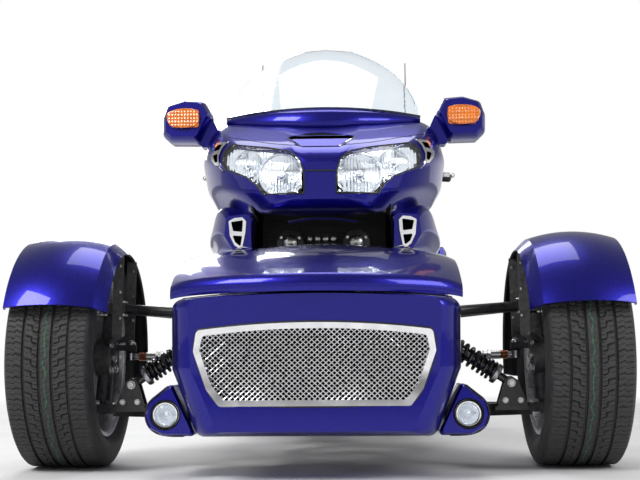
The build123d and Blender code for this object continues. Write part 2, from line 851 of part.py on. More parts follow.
# Instrument panel inside the fairing
with BuildPart() as instrument_panel:
    add(
        shell_y(
            [
                (-600, 12, mirrored([(240, 925), (215, 990)])),
                (-470, 12, mirrored([(280, 895), (250, 1004)])),
            ]
        )
    )
    for x in (-150, -52, 52, 150):
        add(rod((x, -472, 968), (x, -460, 968), 42))
    add(rod((-361, -520, 930), (361, -520, 930), 10))
    add(front_cowl.part, mode=Mode.SUBTRACT)

# Mirrors with turn lamps on their fronts
MIRROR = [(384, 960), (478, 962), (502, 984), (503, 1036), (488, 1080), (432, 1097), (370, 1092), (344, 1044)]
MIRROR_MIDDLE = (426, 1029)
MIRROR_SECTIONS = [
    # y, corner radius, size
    (-602, 13, 0.80),
    (-580, 17, 0.94),
    (-545, 18, 1.0),
    (-500, 18, 0.98),
]
TURN_LAMP = [(383, 1001), (466, 1001), (480, 1024), (480, 1048), (440, 1059), (383, 1056)]


def mirror_outline(size):
    """The mirror's outline at a size about its middle."""
    middle_x, middle_z = MIRROR_MIDDLE
    return [(middle_x + (x - middle_x) * size, middle_z + (z - middle_z) * size) for x, z in MIRROR]


with BuildPart() as mirror_housings:
    add(shell_y([(y, r, mirror_outline(size)) for y, r, size in MIRROR_SECTIONS]))
    add(slab_y(-560, -516, [(322, 985), (352, 1052), (394, 985), (380, 947), (322, 950)], 8))
    add(cowl_outer, mode=Mode.SUBTRACT)
    mirror(about=Plane.YZ)
with BuildPart() as turn_signals:
    add(slab_y(-612, -602, TURN_LAMP, 9))
    mirror(about=Plane.YZ)

# Radiators and the horns in front of them
with BuildPart() as radiators:
    add(block((-178, -560, 400), (178, -520, 740)))
    for s in (-1, 1):
        add(block((min(s * 170, s * 206), -556, 590), (max(s * 170, s * 206), -548, 686)))
        add(block((min(s * 170, s * 196), -556, 686), (max(s * 170, s * 196), -548, 738)))
    for fin_z in range(415, 735, 20):
        add(block((-170, -566, fin_z), (170, -560, fin_z + 4)))
HORN_PROFILE = [(0, 0), (30, 0), (40, 14), (40, 26), (24, 30), (20, 40), (0, 40)]
with BuildPart() as horns:
    for s in (-1, 1):
        add(turned((s * 100, -610, 636), (0, -1, 0), HORN_PROFILE))
        add(block((s * 100 - 12, -610, 560), (s * 100 + 12, -602, 640)))
        add(block((s * 100 - 12, -610, 562), (s * 100 + 12, -560, 572)))

# Engine: block, cylinder banks and covers
VALVE_COVER = [
    # x, front y, rear y, low z, high z
    (326, -378, 78, 318, 452),
    (350, -372, 72, 324, 446),
    (368, -350, 50, 344, 426),
]


def valve_cover(side):
    """Tapered cover on the outer end of a cylinder bank."""
    with BuildPart() as cover:
        loft(
            sections=[
                rounded(
                    Plane.YZ.offset(side * x),
                    [(front, low), (rear, low), (rear, high), (front, high)],
                    22,
                )
                for x, front, rear, low, high in VALVE_COVER
            ],
            ruled=True,
        )
    return cover.part


with BuildPart() as engine:
    add(block((-165, -440, 205), (165, 140, 520), 30))
    for s in (-1, 1):
        x0, x1 = sorted((s * 165, s * 300))
        add(block((x0, -375, 300), (x1, 75, 470), 12))
        for bore_y in (-295, -150, -5):
            add(rod((s * 300, bore_y, 385), (s * 330, bore_y, 385), 62))
        add(valve_cover(s))
    add(turned((0, -440, 330), (0, -1, 0), [(0, 0), (120, 0), (120, 14), (104, 26), (0, 30)]))
    add(block((-130, -330, 520), (130, 60, 640), 24))

# Exhausts: headers and mufflers
with BuildPart() as exhausts:
    for s in (-1, 1):
        for port_y in (-105, 40):
            add(
                bent_tube(
                    [(s * 262, port_y, 296), (s * 262, port_y, 240), (s * 226, port_y + 70, 190)],
                    30,
                    18,
                )
            )
        add(
            bent_tube(
                [
                    (s * 262, -250, 296),
                    (s * 262, -250, 240),
                    (s * 218, -120, 186),
                    (s * 226, 300, 186),
                    (s * 268, 460, 290),
                    (s * 268, 520, 290),
                ],
                40,
                20,
            )
        )
        add(
            turned(
                (s * 268, 500, 290),
                (0, 1, 0),
                [(0, 0), (30, 0), (54, 40), (54, 700), (40, 730), (34, 734), (34, 716), (0, 716)],
            )
        )

# Main frame: head tube, side spars and tail rails
lean = radians(STEERING_LEAN)
HEAD_DIR = Vector(0, sin(lean), cos(lean))
head_low = Vector(*STEERING_HEAD) - HEAD_DIR * 50
head_high = Vector(*STEERING_HEAD) + HEAD_DIR * 40
MAIN_SPAR = [(20, -262, 905), (178, -205, 850), (200, -40, 780), (196, 130, 640), (150, 250, 380)]
FRONT_SPAR = [(20, -268, 895), (150, -400, 760), (196, -420, 640), (206, -560, 500), (206, -690, 434)]
TAIL_RAIL = [(186, 110, 660), (140, 300, 640), (132, 1180, 760)]
FOOT_PEG_STAY = [(160, 250, 400), (205, 265, 400), (261.1, 437.2, 405.9)]
STAYS = [
    # start, end, radius
    ((200, -545, 518), (178, -545, 518), 8),
    ((150, 216, 416.3), (150, 142.3, 430), 12),
]
with BuildPart() as frame:
    add(rod(head_low, head_high, 36))
    add(rod((0, -280, 935), (0, -460, 935), 14))
    for s in (-1, 1):
        for path, bend, radius in (
            (MAIN_SPAR, 50, 24),
            (FRONT_SPAR, 40, 14),
            (FOOT_PEG_STAY, 14, 8),
        ):
            add(bent_tube([(s * x, y, z) for x, y, z in path], bend, radius))
        for start, end, radius in STAYS:
            add(rod((s * start[0], *start[1:]), (s * end[0], *end[1:]), radius))
        add(square_bar((s * 150, 200, 360), (s * 150, 290, 360), 30, 120))
        add(block((min(s * 160, s * 200), 215, 292), (max(s * 160, s * 200), 265, 312)))
    for cross_y, cross_z in ((250, 380), (250, 320)):
        add(rod((-150, cross_y, cross_z), (150, cross_y, cross_z), 16))
    add(rod(head_low - HEAD_DIR * 10, head_high + HEAD_DIR * 10, STEM_R + RUNNING_GAP), mode=Mode.SUBTRACT)

# Seat subframe: tail rails, cross bars, bag stays and the trunk's carrier
CARRIER_STAYS = [
    # y, z, inner x, outer x, radius
    (420, 656, 136, 204, 8),
    (760, 704, 134, 195, 10),
    (1100, 742, 133, 195, 8),
]
with BuildPart() as seat_subframe:
    for s in (-1, 1):
        add(bent_tube([(s * x, y, z) for x, y, z in TAIL_RAIL], 40, 14))
        for stay_y, stay_z, inner_x, outer_x, radius in CARRIER_STAYS:
            add(rod((s * inner_x, stay_y, stay_z), (s * outer_x, stay_y, stay_z), radius))
        for post_y, post_z in ((905, 722), (1130, 750)):
            add(block((min(s * 118, s * 138), post_y, post_z), (max(s * 118, s * 138), post_y + 24, 790)))
    add(block((-138, 900, 788), (138, 1160, 799.5)))
    for cross_y, cross_z in ((520, 670), (790, 707), (1160, 757)):
        add(rod((-132, cross_y, cross_z), (132, cross_y, cross_z), 12))
    add(block((-16, 780, 661.4), (16, 800, 706)))
    add(frame.part, mode=Mode.SUBTRACT)

# Handlebar with risers, levers and switch blocks
BAR_R = 11
GRIP_INNER_X = 300
with BuildPart() as handlebar:
    add(rod(head_low - HEAD_DIR * 8, head_high + HEAD_DIR * 30, STEM_R))
    add(rod(head_high + HEAD_DIR * 6, head_high + HEAD_DIR * 26, 40))
    top = head_high + HEAD_DIR * 26
    add(square_bar((0, top.Y, top.Z - 6), (0, top.Y + 40, top.Z + 6), 110, 24))
    add(
        bent_tube(
            [
                (-GRIP_INNER_X, -4, 948),
                (-255, -20, 952),
                (-90, top.Y + 40, top.Z + 8),
                (90, top.Y + 40, top.Z + 8),
                (255, -20, 952),
                (GRIP_INNER_X, -4, 948),
            ],
            30,
            BAR_R,
        )
    )
    for s in (-1, 1):
        add(block((min(s * 268, s * 296), -42, 930), (max(s * 268, s * 296), 14, 970), 6))
        add(square_bar((s * 282, -38, 950), (s * 300, -74, 946), 16, 14))
        add(square_bar((s * 296, -72, 946), (s * 446, -62, 934), 12, 12))
with BuildPart() as hand_grips:
    for s in (-1, 1):
        add(rod((s * GRIP_INNER_X, -4, 948), (s * 440, 34, 944), 17))
    add(handlebar.part, mode=Mode.SUBTRACT)

# Tank cover between bars and seat
with BuildPart() as tank_cover:
    add(
        shell_y(
            [
                (-130, 24, mirrored([(110, 740), (142, 800), (112, 880)])),
                (20, 30, mirrored([(120, 722), (152, 800), (116, 902)])),
                (186, 24, mirrored([(96, 712), (122, 760), (84, 826)])),
            ]
        )
    )

# Side covers
with BuildPart() as side_covers:
    add(slab_x(204, 222, [(200, 470), (520, 500), (560, 640), (420, 700), (210, 690)], 24))
    mirror(about=Plane.YZ)

# Seat, pillion and the passenger's backrest
with BuildPart() as seat:
    add(
        shell_y(
            [
                (196, 16, mirrored([(96, 690), (110, 716), (70, 762)])),
                (330, 22, mirrored([(150, 668), (178, 700), (140, 752)])),
                (500, 22, mirrored([(160, 690), (186, 730), (150, 778)])),
                (590, 24, mirrored([(164, 716), (192, 790), (160, 862)])),
                (810, 24, mirrored([(164, 740), (192, 800), (160, 866)])),
            ]
        )
    )
    add(
        shell_z(
            [
                (884, 18, [(-180, 800), (-180, 850), (180, 850), (180, 800)]),
                (990, 20, [(-198, 790), (-198, 850), (198, 850), (198, 790)]),
                (1086, 16, [(-170, 812), (-170, 852), (170, 852), (170, 812)]),
            ]
        )
    )

# Trunk and its lid, hollow
TRUNK_MIDDLE = (0, 1090)
TRUNK_OUT = [
    (-TRUNK_HALF, 884),
    (-TRUNK_HALF, 1200),
    (-230, 1322),
    (230, 1322),
    (TRUNK_HALF, 1200),
    (TRUNK_HALF, 884),
]
TRUNK_LOW = drawn_in(TRUNK_OUT, 30, TRUNK_MIDDLE)
LID_AXIS = (874, 1064)
HINGE_X = 110
HINGE_PIN_R = 5
with BuildPart() as trunk:
    add(
        shell_z(
            [(800, 30, TRUNK_LOW), (880, 40, TRUNK_OUT), (TRUNK_SPLIT_Z - LID_GAP, 40, TRUNK_OUT)],
            ruled=True,
        )
    )
    add(
        shell_z(
            [
                (806, 24, drawn_in(TRUNK_LOW, SHELL, TRUNK_MIDDLE)),
                (882, 34, drawn_in(TRUNK_OUT, SHELL, TRUNK_MIDDLE)),
                (TRUNK_SPLIT_Z + 10, 34, drawn_in(TRUNK_OUT, SHELL, TRUNK_MIDDLE)),
            ],
            ruled=True,
        ),
        mode=Mode.SUBTRACT,
    )
    for s in (-1, 1):
        x0, x1 = sorted((s * HINGE_X, s * (HINGE_X + 14)))
        add(block((x0, LID_AXIS[0] - 7, 950), (x1, 884, 990)))
        add(block((x0, LID_AXIS[0] - 7, 980), (x1, LID_AXIS[0] + 4, LID_AXIS[1])))
        add(rod((x0, *LID_AXIS), (x1, *LID_AXIS), 7))
        add(rod((s * HINGE_X, *LID_AXIS), (s * (HINGE_X + 36), *LID_AXIS), HINGE_PIN_R))
LID_TOP = [(-250, 950), (-250, 1150), (-190, 1240), (190, 1240), (250, 1150), (250, 950)]
with BuildPart() as trunk_lid:
    add(
        shell_z(
            [
                (TRUNK_SPLIT_Z, 40, TRUNK_OUT),
                (1080, 40, drawn_in(TRUNK_OUT, 14, TRUNK_MIDDLE)),
                (1128, 30, LID_TOP),
            ]
        )
    )
    add(
        shell_z(
            [
                (TRUNK_SPLIT_Z - 2, 34, drawn_in(TRUNK_OUT, SHELL, TRUNK_MIDDLE)),
                (1074, 34, drawn_in(TRUNK_OUT, 14 + SHELL, TRUNK_MIDDLE)),
                (1120, 24, drawn_in(LID_TOP, SHELL, TRUNK_MIDDLE)),
            ]
        ),
        mode=Mode.SUBTRACT,
    )
    for s in (-1, 1):
        x0, x1 = sorted((s * (HINGE_X + 17), s * (HINGE_X + 32)))
        add(rod((x0, *LID_AXIS), (x1, *LID_AXIS), 10))
        add(block((x0, LID_AXIS[0], LID_AXIS[1] - 6), (x1, LID_AXIS[0] + 26, LID_AXIS[1] + 6)))
        add(
            rod((x0 - 1, *LID_AXIS), (x1 + 1, *LID_AXIS), HINGE_PIN_R + RUNNING_GAP),
            mode=Mode.SUBTRACT,
        )

# Saddlebags with outward opening lids
BAG_SIDE = [
    (612, 470),
    (650, 392),
    (1180, 400),
    (1262, 470),
    (1256, 690),
    (1180, 758),
    (700, 762),
    (616, 640),
]
BAG_INSIDE = [
    (620, 474),
    (655, 400),
    (1176, 408),
    (1254, 474),
    (1248, 686),
    (1176, 750),
    (704, 754),
    (624, 636),
]
BAG_AXIS = (443, 386)
BAG_PIN_R = 3
BAG_HINGE_R = 6
with BuildPart() as saddlebags:
    add(slab_x(BAG_INNER_X, BAG_OUTER_X, BAG_SIDE, 30))
    add(slab_x(BAG_INNER_X + SHELL, BAG_OUTER_X + 10, BAG_INSIDE, 24), mode=Mode.SUBTRACT)
    for start in (840, 980):
        add(rod((BAG_AXIS[0], start, BAG_AXIS[1]), (BAG_AXIS[0], start + 20, BAG_AXIS[1]), BAG_HINGE_R))
        add(block((424, start, 384), (438, start + 20, 398)))
        add(block((432, start, 382), (443, start + 20, 390)))
    add(rod((BAG_AXIS[0], 850, BAG_AXIS[1]), (BAG_AXIS[0], 990, BAG_AXIS[1]), BAG_PIN_R))
    mirror(about=Plane.YZ)


def bag_lid():
    """Dished cover of the left bag."""
    small = [(y * 0.9 + 94, z * 0.9 + 58) for y, z in BAG_SIDE]
    with BuildPart() as body:
        loft(
            sections=[
                rounded(Plane.YZ.offset(BAG_LID_X), BAG_SIDE, 30),
                rounded(Plane.YZ.offset(BAG_LID_X + 16), BAG_SIDE, 30),
                rounded(Plane.YZ.offset(BAG_LID_X + 30), small, 26),
            ],
            ruled=True,
        )
        add(slab_x(BAG_LID_X - 1, BAG_LID_X + 14, BAG_INSIDE, 24), mode=Mode.SUBTRACT)
        add(rod((BAG_AXIS[0], 863, BAG_AXIS[1]), (BAG_AXIS[0], 977, BAG_AXIS[1]), BAG_HINGE_R))
        add(block((BAG_AXIS[0], 863, 381), (456, 977, 398)))
        add(
            rod((BAG_AXIS[0], 860, BAG_AXIS[1]), (BAG_AXIS[0], 980, BAG_AXIS[1]), BAG_PIN_R + RUNNING_GAP),
            mode=Mode.SUBTRACT,
        )
    return body.part


with BuildPart() as saddlebag_lid_left:
    add(bag_lid())
with BuildPart() as saddlebag_lid_right:
    mirror(saddlebag_lid_left.part, about=Plane.YZ)

# Rear fender with the plate holder
PLATE_HOLES = (146, 70)
PLATE_HOLE_R = 3.5
REAR_FENDER_HALF = [(98, 320), (104, 320), (104, 336), (80, 350)]
REAR_FENDER_INSIDE = [(-78, 345), (78, 345), (98, 333)]
REAR_FENDER_PROFILE = (
    REAR_FENDER_HALF + [(-x, r) for x, r in reversed(REAR_FENDER_HALF)] + [(-98, 333)] + REAR_FENDER_INSIDE
)
with BuildPart() as rear_fender:
    fender_plane = Plane(
        origin=(0, REAR_AXLE_Y, REAR_AXLE_Z),
        x_dir=(1, 0, 0),
        z_dir=(0, -sin(radians(50)), -cos(radians(50))),
    )
    with BuildSketch(fender_plane):
        Polygon(*REAR_FENDER_PROFILE, align=None)
    revolve(axis=Axis((0, REAR_AXLE_Y, REAR_AXLE_Z), (-1, 0, 0)), revolution_arc=118)
    add(square_bar((0, 1120, 440), (0, 1284, 500), 60, 10))
    add(slab_y(1280, 1286, [(-98, 456), (98, 456), (98, 574), (-98, 574)], 10))
    with Locations(Plane(origin=(0, 1283, 515), x_dir=(1, 0, 0), z_dir=(0, 1, 0))):
        with GridLocations(PLATE_HOLES[0], PLATE_HOLES[1], 2, 2):
            Cylinder(PLATE_HOLE_R, 12, mode=Mode.SUBTRACT)

# Tail lamps on the trunk and the bags
TAIL_LAMPS = [
    # y, depth, low x, low z, high x, high z
    (1322.5, 31, 110, 850, 226, 930),
    (1262.5, 27, 240, 560, 420, 660),
]
with BuildPart() as tail_lamps:
    for y, depth, low_x, low_z, high_x, high_z in TAIL_LAMPS:
        face = [(low_x, low_z), (high_x, low_z), (high_x, high_z), (low_x, high_z)]
        middle = ((low_x + high_x) / 2, (low_z + high_z) / 2)
        add(shell_y([(y, 10, face), (y + depth, 10, drawn_in(face, 8, middle))]))
    mirror(about=Plane.YZ)

# Swingarm on the right side, with the rear axle pin
AXLE_R = 22
SWINGARM_SIDE = [
    (292, 300),
    (292, 420),
    (420, 430),
    (700, 390),
    (820, 350),
    (820, 270),
    (700, 262),
    (420, 300),
]
with BuildPart() as swingarm:
    add(slab_x(-168, -112, SWINGARM_SIDE, 20))
    add(block((-112, 292, 320), (112, 330, 400)))
    add(rod((-140, REAR_AXLE_Y, REAR_AXLE_Z), (60, REAR_AXLE_Y, REAR_AXLE_Z), AXLE_R))

# Rear wheel
REAR_BARREL = [
    (-REAR_RIM_HALF, 212),
    (-71, 212),
    (-69, REAR_BEAD_R),
    (69, REAR_BEAD_R),
    (71, 212),
    (REAR_RIM_HALF, 212),
    (76, 196),
    (-76, 196),
]
REAR_HUB = [
    (-70, AXLE_R + RUNNING_GAP),
    (-70, 60),
    (-40, 70),
    (50, 66),
    (72, 40),
    (76, 0),
    (64, 0),
    (64, AXLE_R + RUNNING_GAP),
]
with BuildPart() as rear_tyre:
    add(
        tyre(
            (REAR_AXLE_Y, REAR_AXLE_Z),
            0,
            REAR_TYRE_R,
            REAR_TYRE_HALF_WIDTH,
            REAR_BEAD_R,
            REAR_RIM_HALF - 9,
        )
    )
with BuildPart() as rear_rim:
    add(
        turned_x(
            (REAR_AXLE_Y, REAR_AXLE_Z),
            REAR_BARREL,
        )
    )
    add(
        turned_x(
            (REAR_AXLE_Y, REAR_AXLE_Z),
            REAR_HUB,
        )
    )
    with Locations(Plane(origin=(0, REAR_AXLE_Y, REAR_AXLE_Z), x_dir=(0, 1, 0), z_dir=(1, 0, 0))):
        with PolarLocations(0, SPOKES):
            with Locations((126, 20, 20), (126, -20, 20)):
                Box(146, 16, 24)

# Foot boards and pegs
with BuildPart() as foot_boards:
    add(block((200, 120, 288), (336, 340, 302), 24))
    add(block((214, 150, 302), (322, 310, 308), 16))
    add(block((230, 440, 400), (330, 560, 412), 20))
    mirror(about=Plane.YZ)

# Antennas on the trunk's sides
ANTENNA_PROFILE = [(0, 0), (9, 0), (9, 40), (4, 60), (3, 400), (2, 740), (0, 740)]
with BuildPart() as antennas:
    add(turned((326, 1000, 900), (0, 0, 1), ANTENNA_PROFILE))
    add(block((310.5, 990, 902), (322, 1010, 930)))
    mirror(about=Plane.YZ)

NODES = {
    "frame": frame,
    "seat_subframe": seat_subframe,
    "front_subframe": front_subframe,
    "subframe_side_left": subframe_side_left,
    "subframe_side_right": subframe_side_right,
    "nose_shell": nose_shell,
    "grille_surround": grille_surround,
    "grille_mesh": grille_mesh,
    "hood": hood,
    "fog_lamp_pods": fog_lamp_pods,
    "fog_lamps": fog_lamps,
    "front_cowl": front_cowl,
    "headlamps": headlamps,
    "headlamp_reflectors": headlamp_reflectors,
    "lower_cowls": lower_cowls,
    "vent_surrounds": vent_surrounds,
    "windshield": windshield,
    "instrument_panel": instrument_panel,
    "mirror_housings": mirror_housings,
    "turn_signals": turn_signals,
    "radiators": radiators,
    "horns": horns,
    "engine": engine,
    "exhausts": exhausts,
    "tank_cover": tank_cover,
    "side_covers": side_covers,
    "seat": seat,
    "trunk": trunk,
    "trunk_lid": trunk_lid,
    "saddlebags": saddlebags,
    "saddlebag_lid_left": saddlebag_lid_left,
    "saddlebag_lid_right": saddlebag_lid_right,
    "rear_fender": rear_fender,
    "tail_lamps": tail_lamps,
    "swingarm": swingarm,
    "rear_tyre": rear_tyre,
    "rear_rim": rear_rim,
    "foot_boards": foot_boards,
    "antennas": antennas,
    "lower_arms": lower_arms,
    "upper_arms": upper_arms,
    "coil_shocks": coil_shocks,
    "handlebar": handlebar,
    "hand_grips": hand_grips,
    "knuckle_left": knuckle_left,
    "knuckle_right": knuckle_right,
    "front_fender_left": front_fender_left,
    "front_fender_right": front_fender_right,
    "front_rim_left": front_rim_left,
    "front_rim_right": front_rim_right,
    "front_tyre_left": front_tyre_left,
    "front_tyre_right": front_tyre_right,
    "tie_rod_left": tie_rod_left,
    "tie_rod_right": tie_rod_right,
}
for node_name, builder in NODES.items():
    builder.part.label = node_name
    export_step(builder.part, f"parts/{node_name}.step")
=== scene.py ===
"""Finish of the two-front-wheeled touring trike: paint, tread, grille, lamps, saddle and fittings."""

import math
from itertools import product

import bmesh
import bpy
from bpy.props import FloatProperty, FloatVectorProperty, IntProperty, PointerProperty
from bpy.types import NodeSocket, Operator, Panel, PropertyGroup
from mathutils import Matrix, Vector
from mathutils.bvhtree import BVHTree


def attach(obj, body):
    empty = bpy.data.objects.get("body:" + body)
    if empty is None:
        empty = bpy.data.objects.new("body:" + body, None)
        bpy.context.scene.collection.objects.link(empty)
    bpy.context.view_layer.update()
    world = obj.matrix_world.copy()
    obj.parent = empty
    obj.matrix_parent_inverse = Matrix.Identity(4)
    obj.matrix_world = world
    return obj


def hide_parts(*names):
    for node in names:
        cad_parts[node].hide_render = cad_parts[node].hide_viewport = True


bl_info = {
    "name": "Touring Trike Finish",
    "version": (1, 0, 0),
    "blender": (4, 5, 0),
    "location": "View3D > Sidebar > Trike",
    "description": "Dresses the packed touring trike with paint, tread, grille, lamps and upholstery",
    "category": "Object",
}

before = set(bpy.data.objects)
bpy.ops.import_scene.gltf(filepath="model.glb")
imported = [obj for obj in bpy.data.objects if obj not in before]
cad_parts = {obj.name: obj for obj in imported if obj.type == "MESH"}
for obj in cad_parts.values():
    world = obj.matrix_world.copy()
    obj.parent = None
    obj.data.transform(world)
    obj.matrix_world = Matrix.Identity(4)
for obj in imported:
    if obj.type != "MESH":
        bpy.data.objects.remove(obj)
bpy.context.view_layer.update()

# Places and directions shared by several pieces, in metres
FRONT_AXLE = (-0.900, 0.295)
REAR_AXLE = (0.790, 0.311)
WHEEL_X = 0.679
SIDES = ((1, "left"), (-1, "right"))
BOTH = (-1, 1)
OUT = (1, 0, 0)
INWARDS = (-1, 0, 0)
FORWARDS = (0, -1, 0)
BACKWARDS = (0, 1, 0)
UP = (0, 0, 1)
DOWN = (0, 0, -1)


# Settings
class TrikePaint(PropertyGroup):
    """Colours of the bodywork and lamps."""

    body: FloatVectorProperty(
        name="Body",
        description="Deep metallic colour of the bodywork",
        subtype="COLOR",
        default=(0.006, 0.005, 0.15),
    )
    flake: FloatVectorProperty(
        name="Flake",
        description="Colour of the bright flakes in the paint",
        subtype="COLOR",
        default=(0.012, 0.010, 0.33),
    )
    amber: FloatVectorProperty(
        name="Turn lamps",
        description="Colour of the turn lamps' lenses",
        subtype="COLOR",
        default=(0.9, 0.22, 0.01),
    )


class TrikeSizes(PropertyGroup):
    """Sizes of the tread and the grille."""

    groove_depth: FloatProperty(
        name="Groove depth",
        description="Depth of the main tread grooves",
        subtype="DISTANCE",
        default=0.007,
        min=0.002,
        max=0.009,
    )
    tread_pitches: IntProperty(
        name="Tread pitches",
        description="Number of repeats of the tread pattern round a tyre",
        default=64,
        min=30,
        max=90,
    )
    mesh_pitch: FloatProperty(
        name="Grille pitch",
        description="Distance between neighbouring wires of the woven grille",
        subtype="DISTANCE",
        default=0.0120,
        min=0.006,
        max=0.03,
    )


# Shader helpers
def feed(tree, node, inputs):
    """Sets each input to a value, or links it to another node's output."""
    for key, value in inputs.items():
        if isinstance(value, NodeSocket):
            tree.links.new(value, node.inputs[key])
        else:
            node.inputs[key].default_value = value


def node_at(tree, kind, inputs=None, **settings):
    """A shader node of a kind, placed to the right of the earlier ones, with its inputs fed."""
    node = tree.nodes.new("ShaderNode" + kind)
    node.location = (220 * len(tree.nodes) - 900, 0)
    for key, value in settings.items():
        setattr(node, key, value)
    feed(tree, node, inputs or {})
    return node


def new_group(name, inputs, outputs):
    """A shader node group: inputs by name and default, outputs by name and kind."""
    group = bpy.data.node_groups.new(name, "ShaderNodeTree")
    for label, default in inputs.items():
        kind = "NodeSocketFloat" if isinstance(default, float) else "NodeSocketColor"
        socket = group.interface.new_socket(label, in_out="INPUT", socket_type=kind)
        socket.default_value = default
    for label, kind in outputs.items():
        group.interface.new_socket(label, in_out="OUTPUT", socket_type="NodeSocket" + kind)
    given = group.nodes.new("NodeGroupInput").outputs
    return group, given, group.nodes.new("NodeGroupOutput")


def speckle_group():
    """Fine variation of a colour: two tones mixed by noise in the object's own space."""
    grey = (0.5, 0.5, 0.5, 1)
    group, given, leave = new_group(
        "Speckle",
        {"Tone A": grey, "Tone B": grey, "Scale": 200.0, "Contrast": 1.0},
        {"Color": "Color", "Mask": "Float"},
    )
    place = node_at(group, "TexCoord").outputs["Object"]
    noise = node_at(group, "TexNoise", {"Detail": 3.0, "Vector": place, "Scale": given["Scale"]})
    limits = {"From Min": 0.35, "From Max": 0.65, "To Max": given["Contrast"]}
    mask = node_at(group, "MapRange", {"Value": noise.outputs["Fac"], **limits}).outputs["Result"]
    tones = {"Factor": mask, 6: given["Tone A"], 7: given["Tone B"]}
    blend = node_at(group, "Mix", tones, data_type="RGBA")
    feed(group, leave, {"Color": blend.outputs[2], "Mask": mask})


def grain_group():
    """Height field for cast, moulded and leathery surfaces."""
    group, given, leave = new_group(
        "Grain",
        {"Scale": 400.0, "Strength": 0.2, "Distance": 0.001},
        {"Normal": "Vector", "Height": "Float"},
    )
    place = node_at(group, "TexCoord").outputs["Object"]
    cells = node_at(group, "TexVoronoi", {"Vector": place, "Scale": given["Scale"]}, feature="SMOOTH_F1")
    height = cells.outputs["Distance"]
    amounts = {key: given[key] for key in ("Strength", "Distance")}
    bump = node_at(group, "Bump", {"Height": height, **amounts})
    feed(group, leave, {"Normal": bump.outputs["Normal"], "Height": height})


def wear_group():
    """Mask of rubbed edges and a little grime in the corners."""
    group, given, leave = new_group(
        "Edge Wear", {"Amount": 0.4, "Scale": 60.0}, {"Edges": "Float", "Grime": "Float"}
    )
    shape = node_at(group, "NewGeometry").outputs["Pointiness"]
    place = node_at(group, "TexCoord").outputs["Object"]
    noise = node_at(group, "TexNoise", {"Vector": place, "Scale": given["Scale"]}).outputs["Fac"]
    for target, low, high in (("Edges", 0.52, 0.6), ("Grime", 0.48, 0.4)):
        part = node_at(group, "MapRange", {"From Min": low, "From Max": high, "Value": shape})
        rough = node_at(group, "Math", {0: part.outputs["Result"], 1: noise}, operation="MULTIPLY")
        scaled_by = {0: rough.outputs[0], 1: given["Amount"]}
        feed(group, leave, {target: node_at(group, "Math", scaled_by, operation="MULTIPLY").outputs[0]})


def shader(name, **values):
    """Material with a Principled BSDF whose plain sockets are set by name."""
    mat = bpy.data.materials.new(name)
    mat.use_nodes = True
    bsdf = mat.node_tree.nodes["Principled BSDF"]
    feed(mat.node_tree, bsdf, {label.replace("_", " "): value for label, value in values.items()})
    return mat, mat.node_tree, bsdf


def place_group(tree, name, **values):
    """Outputs of a shared node group placed in a material with its own values."""
    node = node_at(tree, "Group", node_tree=bpy.data.node_groups[name])
    feed(tree, node, {label.replace("_", " "): value for label, value in values.items()})
    return node.outputs


def rgba(tone):
    """Four-value colour from three values, or from one for a grey."""
    return (tone, tone, tone, 1.0) if isinstance(tone, (int, float)) else (*tone[:3], 1.0)


def finish_material(name, tones, scale, roughness, grain=None, wear=0.0, worn=0.5, **plain):
    """Opaque finish with two-tone speckle, rubbed edges, uneven gloss and optional grain."""
    mat, tree, bsdf = shader(name, Roughness=roughness, **plain)
    speckle = place_group(tree, "Speckle", Tone_A=rgba(tones[0]), Tone_B=rgba(tones[1]), Scale=scale)
    color = speckle["Color"]
    if wear:
        edges = place_group(tree, "Edge Wear", Amount=wear)["Edges"]
        mix = node_at(tree, "Mix", {"Factor": edges, 6: color, 7: rgba(worn)}, data_type="RGBA")
        color = mix.outputs[2]
    limits = {"To Min": max(roughness - 0.06, 0.02), "To Max": min(roughness + 0.08, 1.0)}
    gloss = node_at(tree, "MapRange", {"Value": speckle["Mask"], **limits})
    feed(tree, bsdf, {"Base Color": color, "Roughness": gloss.outputs["Result"]})
    if grain:
        scale, strength, distance = grain
        rough = place_group(tree, "Grain", Scale=scale, Strength=strength, Distance=distance)
        feed(tree, bsdf, {"Normal": rough["Normal"]})
    return mat


def clear_material(name, tones, scale, roughness, ior):
    """Clear sheet with a faint uneven tint."""
    mat, tree, bsdf = shader(name, Roughness=roughness, Metallic=0.0, Transmission_Weight=1.0, IOR=ior)
    film = place_group(tree, "Speckle", Tone_A=rgba(tones[0]), Tone_B=rgba(tones[1]), Scale=scale)
    feed(tree, bsdf, {"Base Color": film["Color"]})
    return mat


